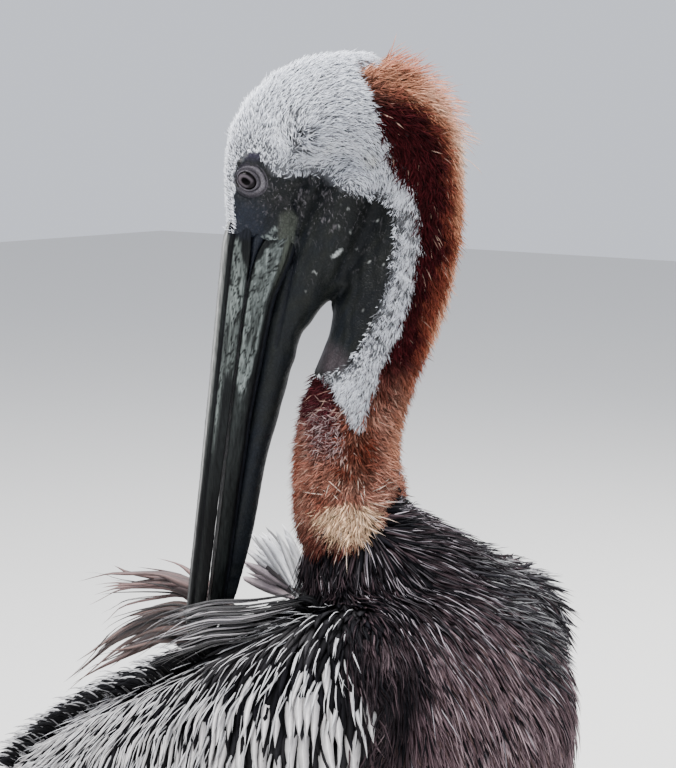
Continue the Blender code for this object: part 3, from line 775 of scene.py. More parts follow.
def onNeck(ground, pouchBare):   # where the neck's chestnut grows, and the zones of the skin
    zone = zones(ground.middles)
    coat = zone.neck * (1 - zone.white) * (1 - zone.bare) * (1 - pouchBare)
    return coat * (coat > 0.5), zone


def growNeck(ground, pouchBare):
    coat, zone = onNeck(ground, pouchBare)
    count = neckSpec["count"]
    for number, (name, low, high) in enumerate(neckSpec["bands"]):
        seed = neckSpec["seed"] + number
        rng = np.random.default_rng(seed)
        weight = coat * ((zone.height >= low) & (zone.height < high))
        points, normals, ways, near = ground.scatter(weight, count, seed)
        forward, height = near.forward, near.height
        edge = np.maximum(ease(0.012, 0.028, near.outward), ease(-0.012, -0.028, near.outward))
        mottled = mottling(forward, height)
        ways = shaken(ways, normals, 0.4 + 0.5 * mottled, rng)
        lengths = rng.uniform(*neckSpec["length"], count) * (1 + 0.25 * edge) * (1 - 0.25 * mottled)
        lift = np.radians(neckSpec["lift"] + 16 * edge + 12 * mottled + rng.normal(0, 10, count))
        spines = straightSpines(points, normals, ways, lengths, lift, np.radians(neckSpec["bend"]), 3)
        band = 1 + 0.35 * ripple(points * (0.6, 0.6, 1.6), 0.0075, 72) * (height < 0.14)
        colour = neckColour(points, near)
        colour = colour * (0.3 + 1.45 * rng.random(count) ** 1.2 * band.clip(0.2, 2))[:, None]
        paleTip = rng.random(count) < 0.012 + 0.04 * (height < 0.11) + 0.36 * mottled
        frost = mixRows((0.66, 0.43, 0.33), (0.58, 0.44, 0.44), mottled)
        tip = np.where(paleTip[:, None], mixRows(colour, frost, rng.uniform(0.3, 0.95, count)), colour)
        inCream = np.hypot(forward - 0.004, height - 0.032) < 0.015
        dark = ((ripple(points, 0.0024, 71) > 1.05) & inCream)[:, None]
        tip, colour = np.where(dark, 0.012, tip), np.where(dark, 0.012, colour)
        plant(name, spines, rng.uniform(*neckSpec["width"], count), hairShape, 0.0005,
              (colour * 0.25, tip, tip), points, "neck", neckSpec["look"], "chestnut_plumage",
              sides=3, fade=0.7)


def growWisps(ground, pouchBare):   # long thin hairs of the nape, the crest and the foot of the neck
    rng = np.random.default_rng(14)
    coat, zone = onNeck(ground, pouchBare)
    forward, height, outward = zone.forward, zone.height, zone.outward
    apart = np.hypot(forward - ruffSpot[0], height - ruffSpot[1])
    kinds = [  # name, weight, count, length, lift, thickness
        ("crest", ease(0.24, 0.275, height) * ease(0.02, 0.03, outward), 240, (0.013, 0.024), 60, 1.0),
        ("nape", ease(0.024, 0.031, outward) * ease(0.12, 0.16, height), 420, (0.009, 0.015), 50, 0.9),
        ("above", (height > 0.044) * (height < 0.062) * (forward < 0.026), 60, (0.009, 0.015), 34, 0.7),
        ("ruff", (apart < 0.024) * (height < 0.05), 230, (0.01, 0.021), 20, 0.9)]
    groups = []
    for number, (name, weight, count, lengths, lift, thickness) in enumerate(kinds):
        points, normals, ways, near = ground.scatter(coat * weight, count, 15 + number)
        if name == "ruff":
            gap = np.stack([near.forward - ruffSpot[0], near.height - ruffSpot[1] - 0.01], 1)
            ways = flat(gap[:, :1] * heading + gap[:, 1:] * upward, normals)
        ways = shaken(ways, normals, 0.3 if name == "ruff" else 0.5, rng)
        angle = np.radians(lift + rng.normal(0, 10, count))
        spines = straightSpines(points, normals, ways, rng.uniform(*lengths, count), angle, np.radians(34), 5)
        colour = neckColour(points, near)
        tip = (0.4, 0.1, 0.07) if name == "crest" else hues.pale
        tip = mixRows(colour, tip, rng.uniform(0.3, 0.9, count))
        if name in ("above", "ruff"):
            tip = hues.pale * rng.uniform(0.8, 1.1, (count, 1)) * (1.0, 1.12, 1.25)
            colour = tip * 0.7
        groups.append((points, *spines, colour, tip, rng.uniform(0.0005, 0.0009, count) * thickness))
    points, spine, lifts, sides, colour, tip, widths = [np.concatenate(rows) for rows in zip(*groups)]
    plant("napeWisps", (spine, lifts, sides), widths, wispShape, 0.0005, (colour, tip, tip), points, "neck",
          (0.7, 0.05), "chestnut_plumage", coat="wispCoat", sides=3)


bodySpec = {"count": 6000, "length": (0.026, 0.036), "width": (0.0055, 0.0085), "tall": (0.35, 0.85),
            "shake": 0.14, "seed": 16, "look": (0.75, 0.0, 22, 0.05)}


def onBody(ground):
    zone = zones(ground.middles)
    return (1 - zone.neck) * (1 - zone.bare) * ease(0.088, 0.096, ground.middles[:, 2])


def growBody(ground, pouchBare):   # contour feathers all over the trunk and wings, dark, and lying close
    rng = np.random.default_rng(bodySpec["seed"])
    x, y, z = ground.middles.T
    weight = onBody(ground) * (1 - pouchBare)
    seen = 1 + 1.6 * ease(-0.02, 0.01, x - wingFront(ground.middles)) * ease(0.2, 0.26, z)
    for number, (name, half) in enumerate((("contourFeathersLeft", y >= 0), ("contourFeathersRight", y < 0))):
        count = bodySpec["count"]
        points, normals, ways, _ = ground.scatter(weight * seen * half, count, 17 + number)
        ways = shaken(ways, normals, bodySpec["shake"], rng)
        breast = ease(-0.01, 0.015, points[:, 0] - wingFront(points))
        thigh = ease(0.125, 0.11, points[:, 2])
        lengths = rng.uniform(*bodySpec["length"], count) * (1 - 0.35 * breast) * (1 - 0.5 * thigh)
        widths = rng.uniform(*bodySpec["width"], count) * (1 - 0.45 * breast) * (1 - 0.4 * thigh)
        heights = rng.uniform(*bodySpec["tall"], count) * skinSpec["bodyCoat"] * (1 - 0.5 * thigh)
        spines = combed(ground, points, normals, ways, lengths, heights, len(vaneShape))
        colour = bodyColour(points) * rng.uniform(0.5, 1.3, count)[:, None]
        plant(name, spines, widths, vaneShape, 0.0008, (colour * 0.3, colour, colour * 0.6), points, "body",
              bodySpec["look"], "brown_plumage", sides=3, fade=0.8)


def growStreaks(ground, pouchBare):   # the breast's narrow feathers, and the long hair-like ones over them
    x, _, z = ground.middles.T
    weight = (onBody(ground) * (1 - pouchBare) * ease(-0.01, 0.006, x - wingFront(ground.middles))
              * ease(0.1, 0.16, z))
    layers = [  # name, count, length, width, tallness, shake, brightness
        ("breastFeathers", 7200, (0.016, 0.03), (0.0009, 0.0026), (0.7, 1.05), 0.1, 1.0),
        ("breastHairs", 1500, (0.022, 0.042), (0.0007, 0.0013), (1.0, 1.5), 0.16, 1.25)]
    for number, (name, count, lengths, widths, tall, shake, bright) in enumerate(layers):
        rng = np.random.default_rng(21 + number)
        points, normals, ways, _ = ground.scatter(weight, count, 22 + number)
        ways = shaken(ways, normals, shake, rng)
        heights = rng.uniform(*tall, count) * skinSpec["bodyCoat"]
        spines = combed(ground, points, normals, ways, rng.uniform(*lengths, count), heights, len(vaneShape))
        reach = np.linalg.norm(points - neckFoot, axis=1)
        offset = (points - neckFoot) @ np.array((0.64, 0.77, 0))
        front = points[:, 0] - wingFront(points)
        clump = ripple(points * (1.0, 1.0, 0.55), 0.02, 24)
        pale = ease(0.06, 0.12, reach) * rng.random(count) ** 1.6 * ease(-1.0, 1.0, clump)
        near = 1 - ease(0.062, 0.108, reach - 0.1 * np.maximum(points[:, 1] + 0.03, 0) + 0.012 * clump)
        near = np.maximum(near, ease(0.02, 0.004, front) * (points[:, 1] < 0))
        tip = layered(hues.breast * 0.8, (hues.streak * bright, pale),
                      (hues.black, near * (0.97 - 0.55 * rng.random(count) ** 2.5)))
        inked = rng.random(count) < 0.16 + 0.1 * number
        tip = np.where(inked[:, None], hues.black, tip)
        silvered = rng.random(count) < 0.06 + 0.26 * ease(0.13, 0.08, reach) * ease(-0.018, 0.002, offset)
        silvered &= (reach < 0.15) & ((front > 0.012) | (points[:, 1] > 0))
        frost = hues.hair * (0.95, 0.86, 0.92) * (0.1 + 0.75 * rng.random((count, 1)) ** 1.8)
        tip = np.where(silvered[:, None], frost, tip)
        widthRows = np.where(silvered, rng.uniform(0.0006, 0.0011, count), rng.uniform(*widths, count))
        plant(name, spines, widthRows, vaneShape, 0.0007, (tip * 0.25, tip, tip * 0.55), points, "body",
              (0.65, 0.0, 22, 0.08), "brown_plumage", sides=3, fade=0.8)


def growShoulder(ground):   # the left shoulder's ruffled feathers: black ones raised, silver hairs over them
    x, y, z = ground.middles.T
    reach = np.linalg.norm(ground.middles - neckFoot, axis=1)
    weight = (onBody(ground) * ease(-0.012, 0.012, y) * ease(0.285, 0.315, z) * ease(0.06, 0.08, reach)
              * ease(0.1, 0.15, x) * (ground.middleNormals @ unit(np.array((0.5, 0.3, 0.8))) > 0.4))
    layers = [  # name, count, length, width, rise, shake
        ("shoulderShade", 1300, (0.02, 0.032), (0.0022, 0.0042), 33, 0.2),
        ("shoulderHairs", 900, (0.018, 0.03), (0.0007, 0.0014), 36, 0.26)]
    for number, (name, count, lengths, widths, rise, shake) in enumerate(layers):
        rng = np.random.default_rng(71 + number)
        points, normals, ways, _ = ground.scatter(weight, count, 73 + number)
        ways = shaken(flat(ways + (0.25, 0.35, 0), normals), normals, shake, rng)
        top = ease(0.29, 0.33, points[:, 2])
        angle = np.radians(rise * (0.55 + 0.45 * top) + rng.normal(0, 7, count))
        spines = straightSpines(points + normals * 0.003, normals, ways, rng.uniform(*lengths, count), angle,
                                np.radians(22), len(lanceShape), sink=0.004)
        kept = spines[0][:, -1, 2] < points[:, 2] + 0.007   # none stands straight up
        points, spines, count = points[kept], [rows[kept] for rows in spines], kept.sum()
        outer = ease(0.02, 0.08, points[:, 1])[:, None]
        tip = hues.black * rng.uniform(0.6, 2.0, (count, 1)) + 0.02 * rng.random((count, 1)) * (1, 0.85, 0.9)
        if name == "shoulderHairs":
            tip = hues.hair * (rng.uniform(0.12, 0.55, (count, 1)) + 0.45 * outer * rng.random((count, 1)))
        plant(name, spines, rng.uniform(*widths, count), lanceShape, 0.0006, (tip * 0.2, tip, tip * 0.6),
              points, "body", (0.6, 0.0, 22, 0.1), "silver_plumage", sides=3, fade=0.5)


# silver lances which hang down each side with black between them, and white hairs near the back
def growSilver(ground):
    x, y, z = ground.middles.T
    drop = ridgeHeight(ground.middles) - z
    front = wingFront(ground.middles) - 0.002 - 0.009 * ease(0.305, 0.275, z)
    wing = onBody(ground) * (x < front) * ease(0.13, 0.15, z)
    fore, shoulder = ease(-0.02, 0.16, x), ease(0.1, 0.16, x)
    hairTop = ease(-0.014 - 0.018 * shoulder, -0.014 * shoulder, drop)
    layers = [  # name, weight, tries, length, width, tallness, gaps aside and along, seed
        ("silverLances", wing * ease(-0.002, 0.014, drop) * (1.6 - fore), 2600, (0.038, 0.058),
         (0.0078, 0.0102), (0.9, 1.15), (0.0074, 0.0115), 31),
        ("silverSlips", wing * ease(-0.004, 0.008, drop) * ease(0.07, 0.03, drop), 1500, (0.02, 0.034),
         (0.0016, 0.003), (1.05, 1.35), (0.0029, 0.012), 41),
        ("whiteHairs", wing * hairTop * ease(0.05, 0.012, drop), 1900, (0.014, 0.028),
         (0.0008, 0.0014), (1.0, 1.4), (0.0026, 0.009), 51)]
    for name, weight, tries, lengths, widths, tall, gaps, seed in layers:
        lances = name == "silverLances"
        shape = lensShape if lances else lanceShape
        for side, sign in (("Left", 1), ("Right", -1)):
            rng = np.random.default_rng(seed + sign)
            points, normals, ways, _ = ground.scatter(weight * (y * sign > 0.004), tries, seed + sign)
            size, apart = np.ones(tries), 1.0
            if lances:
                low = ease(0.0, 0.06, ridgeHeight(points) - points[:, 2])
                size = (0.45 + 0.55 * ease(0.02, 0.17, points[:, 0])) * (0.65 + 0.35 * low)
                apart = 1 + 0.08 * ease(0.11, 0.17, points[:, 0])
            kept = spaced(points, ways, gaps[0] * size * apart, gaps[1] * size ** 0.5)
            points, normals, ways, size = [rows[kept] for rows in (points, normals, ways, size)]
            count = len(kept)
            tries = count   # the right side tries as many as the left one kept
            ways = shaken(ways, normals, 0.06 if lances else 0.16, rng)
            width = rng.uniform(*widths, count) * size
            length = rng.uniform(*lengths, count) * size ** 0.6
            heights = rng.uniform(*tall, count) * skinSpec["bodyCoat"]
            spines = combed(ground, points, normals, ways, length, heights, len(shape))
            tip = (hues.silver if lances else hues.hair) * rng.uniform(0.62, 1.12, count)[:, None]
            tip = mixRows(tip, hues.brown * 1.5, ease(0.2, 0.155, points[:, 2]) * 0.75)
            tints = (tip * (0.34 if lances else 0.1), tip, tip * 0.52)
            plant(name + side, spines, width, shape, 0.0007, tints, points, "body", (0.45, 0.2, 34),
                  "silver_plumage", fade=0.45)


combSpec = {"x": [-0.14, -0.02, 0.03, 0.08, 0.16], "y": [0.044, 0.064, 0.076, 0.074, 0.058],
            "start": -0.14, "end": 0.16, "apart": 0.0032, "tuft": 0.055}


def growComb(ground):   # the comb of short silver hairs along the edge of the back, swept over black ones
    layers = [  # name, tone, count, length, width, rise, added height, seed
        ("combShade", hues.black, 620, (0.012, 0.019), (0.0024, 0.0038), 0.34, 0.0, 61),
        ("combSilver", hues.hair, 1100, (0.014, 0.022), (0.0011, 0.0017), 0.44, 0.002, 62)]
    bends = ease(0.15, 1.15, np.linspace(0, 1, 7))
    for name, tone, count, lengths, widths, rise, added, seed in layers:
        rng = np.random.default_rng(seed)
        silver, spines, roots = name == "combSilver", [], []
        for number in range(count):
            sign = -1 if number % 3 else 1
            x = rng.uniform(combSpec["start"], combSpec["end"])
            y = sign * (np.interp(x, combSpec["x"], combSpec["y"]) - abs(rng.normal(0, 0.006)))
            found = ground.tree.ray_cast(Vector((x, y, 0.4)), Vector((0, 0, -1)))
            crossing = silver and sign < 0 and x > combSpec["tuft"]   # the loose tuft lies there
            if not found[0] or found[1].z < 0.35 or found[0].z > 0.36 or crossing:
                continue
            root, normal = np.array(found[0]), np.array(found[1])
            if silver and roots and np.min(np.linalg.norm(roots - root, axis=1)) < combSpec["apart"]:
                continue
            turn = unit(np.array((-1.0, sign * rng.uniform(0.1, 0.45), rise * rng.uniform(0.3, 1.3))))
            ways = unit(mixRows(turn, unit(np.array((-0.85, sign * 0.45, -0.55))), bends))
            steps = np.vstack([[0, 0, 0], (ways[1:] + ways[:-1]) / 2 * rng.uniform(*lengths) / 6])
            spines.append(root + normal * (rng.uniform(0.006, 0.01) + added) + np.cumsum(steps, axis=0))
            roots.append(root)
        spine, roots = np.stack(spines), np.stack(roots)
        spine[:, 0] = roots - (0, 0, 0.001)
        tip = tone * rng.uniform(0.42, 1.08, (len(spine), 1))
        spines = (spine, *framesAlong(spine, (0.3, -0.5, 0.8)))
        plant(name, spines, rng.uniform(*widths, len(spine)), combShape, 0.0006,
              (tip * 0.15, tip, tip * 0.6), roots, "body", (0.6, 0.0, 22, 0.1), "silver_plumage",
              sides=3, fade=0.5)


def give(tree, socket, value):   # a link from another socket, or a constant
    if isinstance(value, bpy.types.NodeSocket):
        tree.links.new(value, socket)
    else:
        socket.default_value = value


def addNode(tree, kind, inputs=(), **settings):
    node = tree.nodes.new("ShaderNode" + kind)
    for key, value in settings.items():
        setattr(node, key, value)
    for key, value in dict(inputs).items():
        give(tree, node.inputs[key], value)
    return node.outputs


def reckon(tree, operation, *values):
    return addNode(tree, "Math", enumerate(values), operation=operation)[0]


def ranged(tree, source, low, high, start=0.0, end=1.0, curve="LINEAR"):
    inputs = {"Value": source, "From Min": start, "From Max": end, "To Min": low, "To Max": high}
    return addNode(tree, "MapRange", inputs, interpolation_type=curve)["Result"]


def scaled(tree, colour, factor):
    return addNode(tree, "VectorMath", {0: colour, "Scale": factor}, operation="SCALE")[0]


def noise(tree, place, scale, detail=2.0, **more):
    return addNode(tree, "TexNoise", {"Vector": place, "Scale": scale, "Detail": detail, **more})["Fac"]


def attribute(tree, name, kind="Fac"):
    return addNode(tree, "Attribute", attribute_name=name)[kind]


def objectPlace(tree):
    return addNode(tree, "TexCoord")["Object"]


def drawnOut(tree, place, rotation, scale):
    return addNode(tree, "Mapping", {"Vector": place, "Rotation": rotation, "Scale": scale})["Vector"]


def bump(tree, height, strength, distance):
    return addNode(tree, "Bump", {"Height": height, "Strength": strength, "Distance": distance})["Normal"]


def newMaterial(name):   # a material, its nodes and a way to fill the sockets of its shader
    material = bpy.data.materials.new(name)
    material.use_nodes = True
    tree = material.node_tree
    shader = tree.nodes["Principled BSDF"]

    def finish(values):
        for key, value in values.items():
            give(tree, shader.inputs[key], value)
        return material
    return tree, finish


def newGroup(name, entries, exits):
    tree = bpy.data.node_groups.new(name, "ShaderNodeTree")
    for way, sockets in (("INPUT", entries), ("OUTPUT", exits)):
        for label, kind in sockets.items():
            tree.interface.new_socket(label, in_out=way, socket_type="NodeSocket" + kind)
    return tree, tree.nodes.new("NodeGroupInput").outputs, tree.nodes.new("NodeGroupOutput").inputs


# barbs and shaft of a vane: colour and height from the way across and along it
@cache
def featherGroup():
    tree, entry, leave = newGroup("featherVane", {"Tint": "Color", "Vane": "Vector", "Barbs": "Float"},
                                  {"Color": "Color", "Height": "Float"})
    vane = addNode(tree, "SeparateXYZ", {0: entry["Vane"]})
    away = reckon(tree, "ABSOLUTE", vane["X"])
    slant = reckon(tree, "MULTIPLY_ADD", away, -0.35, vane["Y"])
    turns = reckon(tree, "MULTIPLY", slant, entry["Barbs"])
    wave = reckon(tree, "SINE", reckon(tree, "MULTIPLY_ADD", turns, 6.283, vane["Z"]))
    barbs = scaled(tree, entry["Tint"], ranged(tree, wave, 0.8, 1.1, start=-1))
    shaft = ranged(tree, away, 1.0, 1.35, 0.16, 0.04, "SMOOTHSTEP")
    give(tree, leave["Color"], scaled(tree, barbs, shaft))
    give(tree, leave["Height"], wave)
    return tree


def coatMaterial(name, roughness, sheen, barbs=22, shine=0.2):
    tree, finish = newMaterial(name)
    feather = addNode(tree, "Group", {"Barbs": barbs, "Tint": attribute(tree, "tint", "Color"),
                                      "Vane": attribute(tree, "vane", "Vector")}, node_tree=featherGroup())
    grain = noise(tree, objectPlace(tree), 260, 3)
    return finish({"Base Color": scaled(tree, feather["Color"], ranged(tree, grain, 0.78, 1.22)),
                   "Roughness": ranged(tree, grain, roughness - 0.12, roughness + 0.12),
                   "Normal": bump(tree, feather["Height"], 0.25, 0.0003),
                   "Sheen Weight": sheen, "Sheen Roughness": 0.5, "Specular IOR Level": shine})


@cache
def wrinkleGroup():   # fine leathery wrinkles: a height and a mask, from a place and a size
    tree, entry, leave = newGroup("leatherWrinkles", {"Place": "Vector", "Scale": "Float"},
                                  {"Height": "Float", "Mask": "Float"})
    warp = addNode(tree, "TexNoise", {"Vector": entry["Place"], "Scale": 90})["Color"]
    bent = addNode(tree, "VectorMath", {0: warp, 1: (0.004, 0.004, 0.004), 2: entry["Place"]},
                   operation="MULTIPLY_ADD")[0]
    cells = addNode(tree, "TexVoronoi", {"Vector": bent, "Scale": entry["Scale"]}, feature="DISTANCE_TO_EDGE")
    crease = ranged(tree, cells["Distance"], 0.0, 1.0, end=0.2, curve="SMOOTHSTEP")
    fine = noise(tree, entry["Place"], 900, 4)
    give(tree, leave["Height"], reckon(tree, "MULTIPLY_ADD", crease, 0.6, fine))
    give(tree, leave["Mask"], crease)
    return tree


def addScuffs(tree, place, colour):   # fine pale marks wherever a skin carries a scuff value
    lines = noise(tree, drawnOut(tree, place, (0, 0.7, 0), (1, 1, 0.42)), 430, 3, Distortion=1.6)
    marks = ranged(tree, lines, 0.0, 1.0, 0.58, 0.72, "SMOOTHSTEP")
    amount = reckon(tree, "MULTIPLY", attribute(tree, "scuff"), marks)
    return addNode(tree, "VectorMath", {0: amount, 1: (0.095, 0.088, 0.095), 2: colour},
                   operation="MULTIPLY_ADD")[0]


# tinted skin with wrinkles, for the bare face, the pouch, the lids and the legs
def leatherMaterial(name, roughness, scale=420, distance=0.0004, contrast=0.25):
    tree, finish = newMaterial(name)
    place = objectPlace(tree)
    wrinkles = addNode(tree, "Group", {"Scale": scale, "Place": place}, node_tree=wrinkleGroup())
    blotch = noise(tree, place, 130, 5)
    shade = ranged(tree, wrinkles["Mask"], 1 - contrast, 1 + contrast * 0.5)
    shade = reckon(tree, "MULTIPLY", shade, ranged(tree, blotch, 0.65, 1.4))
    colour = scaled(tree, attribute(tree, "tint", "Color"), shade)
    return finish({"Base Color": addScuffs(tree, place, colour), "Specular IOR Level": 0.14,
                   "Roughness": ranged(tree, blotch, roughness - 0.15, roughness + 0.15),
                   "Normal": bump(tree, wrinkles["Height"], 0.5, distance)})


billSpec = {"rootForward": 0.0678, "rootUp": 0.201, "length": 0.268, "tilt": 6.0, "rings": 270, "around": 80}
# share along the bill, drop below its ridge line, half depth, half width
upperStations = [(-0.04, 0.0006, 0.0066, 0.0132), (0.0, 0.0, 0.0078, 0.0158), (0.03, 0.0, 0.008, 0.016),
                 (0.12, 0.0, 0.0077, 0.015), (0.35, 0.0, 0.0067, 0.0128), (0.6, 0.0, 0.006, 0.0114),
                 (0.8, 0.0, 0.0058, 0.0112), (0.925, 0.0, 0.0052, 0.0102), (0.965, 0.0014, 0.0046, 0.007),
                 (0.988, 0.0042, 0.0036, 0.0046), (1.0, 0.0095, 0.0018, 0.0022)]
lowerStations = [(-0.04, 0.029, 0.008, 0.012), (0.0, 0.0252, 0.0114, 0.0156),
                 (0.03, 0.0232, 0.012, 0.0164), (0.07, 0.0206, 0.0112, 0.016), (0.12, 0.0182, 0.0094, 0.0152),
                 (0.22, 0.0166, 0.0084, 0.014), (0.4, 0.0146, 0.0067, 0.0121), (0.6, 0.014, 0.0058, 0.0108),
                 (0.78, 0.0134, 0.0054, 0.0099), (0.9, 0.0126, 0.0045, 0.0083),
                 (0.955, 0.0114, 0.0022, 0.0048)]
# from the ridge, out over the plate, to the palate
upperProfile = [(0.0, 1.0), (0.18, 0.99), (0.34, 0.9), (0.45, 0.66), (0.48, 0.46), (0.485, 0.3), (0.56, 0.24),
                (0.7, 0.06), (0.84, -0.2), (0.95, -0.55), (1.0, -0.84), (0.97, -1.0), (0.86, -0.98),
                (0.55, -0.84), (0.0, -0.78)]
lowerProfile = [(0.0, 0.8), (0.55, 0.86), (0.86, 0.98), (0.97, 0.96), (1.02, 0.6), (1.0, 0.1), (0.95, -0.3),
                (0.9, -0.52), (0.84, -0.6), (0.8, -0.74), (0.72, -0.92), (0.45, -1.0), (0.0, -1.0)]


def billPoint(share, below, right):
    tilt = math.radians(billSpec["tilt"])
    forward = billSpec["rootForward"] + share * billSpec["length"] * math.sin(tilt) - below * math.cos(tilt)
    height = billSpec["rootUp"] - share * billSpec["length"] * math.cos(tilt) - below * math.sin(tilt)
    return (crookMiddle + (forward - head["crookForward"])[..., None] * heading
            + (height - head["crookUp"])[..., None] * tiltedUp + right[..., None] * across)


def resample(rows, count):   # evenly spaced along a polyline
    reached = np.concatenate([[0], np.cumsum(np.linalg.norm(np.diff(rows, axis=0), axis=1))])
    return readAt(np.linspace(0, reached[-1], count), reached, rows)


def softCurve(shares, stations):   # a smooth curve through rows that start with their share
    stations = np.array(stations)
    kernel = np.hanning(13) / np.hanning(13).sum()
    columns = readAt(shares, stations[:, 0], stations[:, 1:]).T
    return [np.convolve(np.pad(column, 6, mode="edge"), kernel, "valid") for column in columns]


def loft(name, rings):   # a closed tube through rings of points, with flat ends
    count, around = rings.shape[:2]
    spots = np.arange(count * around).reshape(count, around)
    turned = np.roll(spots, -1, axis=1)
    quads = np.stack([spots[:-1], turned[:-1], turned[1:], spots[1:]], -1).reshape(-1, 4)
    corners = np.concatenate([quads.ravel(), spots[0][::-1], spots[-1]])
    starts = np.concatenate([np.arange(len(quads)) * 4, [len(quads) * 4, len(quads) * 4 + around]])
    obj = meshObject(name, rings.reshape(-1, 3), corners, starts)
    editMesh(obj.data, closeUp)
    return obj


# one half of the bill: a loft along its curve, with grooves, flakes and a tint for each point
def billLoft(name, stations, profile, seed, paleness, flaky):
    low, high = stations[0][0], stations[-1][0]
    shares = low + (high - low) * np.sin(np.linspace(0, np.pi / 2, billSpec["rings"])) ** 1.15
    below, depth, width = softCurve(shares, stations)
    half = resample(profile, billSpec["around"] // 2 + 1)
    ring = np.concatenate([half, half[-2:0:-1] * (-1, 1)])
    right = width[:, None] * ring[:, 0]
    under = below[:, None] - depth[:, None] * ring[:, 1]
    along = np.broadcast_to(shares[:, None], right.shape)
    length = along * billSpec["length"]
    grid = np.stack([length * 0.14, right * 0.9, under * 0.9], -1).reshape(-1, 3)
    uneven = along + 0.01 * ripple(grid, 0.004, seed + 5).reshape(right.shape)
    strip = flaky(ring[:, 0], ring[:, 1], uneven).ravel()
    slanted = grid + np.stack([0 * strip, 0 * strip, 0.044 * length.ravel()], 1)
    flakes = 0.6 * ripple(slanted, 0.003, seed) + 0.5 * ripple(slanted, 0.0013, seed + 1)
    diagonal = np.stack([grid[:, 0] + 0.9 * grid[:, 1], 0.4 * grid[:, 1], 0.4 * grid[:, 2]], 1)
    cracks = ease(0.15, 0.04, np.abs(ripple(diagonal, 0.003, seed + 4))) * strip
    fine = ease(0.2, 0.05, np.abs(ripple(slanted * (0.5, 1, 1), 0.0019, seed + 6))) * strip
    raised = ease(-0.75, -0.35, flakes) * strip * (1 - 0.9 * cracks)
    outwards = unit(np.stack([right, under - below[:, None]], -1))
    lift = 0.00035 * raised + 0.00012 * ripple(grid, 0.0022, seed + 2)
    lift = lift.reshape(right.shape) * (shares[:, None] < 0.93)
    right, under = right + outwards[..., 0] * lift, under + outwards[..., 1] * lift
    obj = loft(name, billPoint(along, under, right))
    dark = np.array((0.0045, 0.0048, 0.0055))
    pale = np.array((0.205, 0.235, 0.225)) * paleness
    wave = ripple(grid, 0.012, seed + 3)
    tone = 0.52 + 0.3 * wave + 0.24 * ripple(grid * (0.4, 1, 1), 0.0028, seed + 7)
    tint = layered(dark, ((0.012, 0.014, 0.014), 0.5 + 0.5 * wave), (pale * 0.13, strip * 0.85),
                   (pale, raised * tone.clip(0.1, 1.0)), (dark, fine * 0.55), (dark * 0.8, cracks * 0.9))
    along = along.ravel()
    tint = tint * (1 - 0.62 * ease(0.42, 0.68, along))[:, None]
    side, depth = np.tile(ring, (len(shares), 1)).T
    return obj, tint, along, depth, side


def upperPlate(side, depth, along):   # the pale horny plate: slanting at its top, narrow below
    plate = ease(0.5, 0.6, np.abs(side)) * ease(-0.93, -0.75, depth) * (depth < 0.27)
    top = ease(-0.012, 0.006, along - 0.06 * ease(0.1, -0.9, depth))
    narrow = 1 - ease(0.27, 0.33, along) * ease(0.05, -0.25, depth)
    return plate * top * narrow * (1 - 0.96 * ease(0.36, 0.55, along))


def lowerPlate(side, depth, along):   # the lower one ends in a point
    plate = ease(0.9, 0.97, np.abs(side)) * ease(-0.42, -0.2, depth) * ease(0.92, 0.84, depth)
    end = 0.345 - 0.1 * ease(0.1, -0.4, depth) - 0.03 * ease(0.4, 0.9, depth)
    top = ease(-0.028, -0.012, along - 0.05 * ease(0.4, 0.9, depth))
    return plate * top * (1 - 0.94 * ease(-0.016, 0.016, along - end))


def buildBill():
    obj, tint, along, depth, side = billLoft("upperBill", upperStations, upperProfile, 101, 0.78, upperPlate)
    ridge = mixRows((0.135, 0.14, 0.135), (0.012, 0.012, 0.013), ease(0.2, 0.62, along))
    edge = bell(depth, 0.93, 0.06) * ease(0.98, 0.5, along)
    # painted shade in the groove above the plate
    groove = bell(depth, 0.34, 0.1) * (np.abs(side) < 0.6)
    palate = ease(-0.93, -0.98, depth) * (np.abs(side) < 0.97)
    paint(obj, layered(tint, (ridge, ease(0.6, 0.75, depth) * 0.85), ((0.33, 0.33, 0.325), edge * 0.9),
                       (hues.gum, ease(-0.002, -0.018, along) * (depth < 0.9)),
                       (hues.seam, groove * 0.95), ((0.01, 0.008, 0.01), palate),
                       ((0.075, 0.066, 0.052), ease(0.925, 0.935, along) * 0.8)))
    settle(obj, hornMaterial("upperHorn"), ["upper_bill", "bill_nail"])

    obj, tint, along, depth, side = billLoft("lowerBill", lowerStations, lowerProfile, 111, 1.15, lowerPlate)
    olive = ease(0.16, 0.02, along) * ease(-0.1, -0.35, depth + 2.4 * along) * ease(0.7, 0.9, np.abs(side))
    # painted shade in the crease along the lower mandible
    crease = bell(depth, -0.6, 0.09)
    root = ease(-0.01, -0.034, along) * (1 - olive)
    paint(obj, layered(tint, (hues.jaw, olive), ((0.007, 0.009, 0.012), root),
                       (hues.seam, crease * 0.95), (hues.gum, ease(-0.66, -0.76, depth))))
    settle(obj, hornMaterial("lowerHorn"), ["lower_bill"])


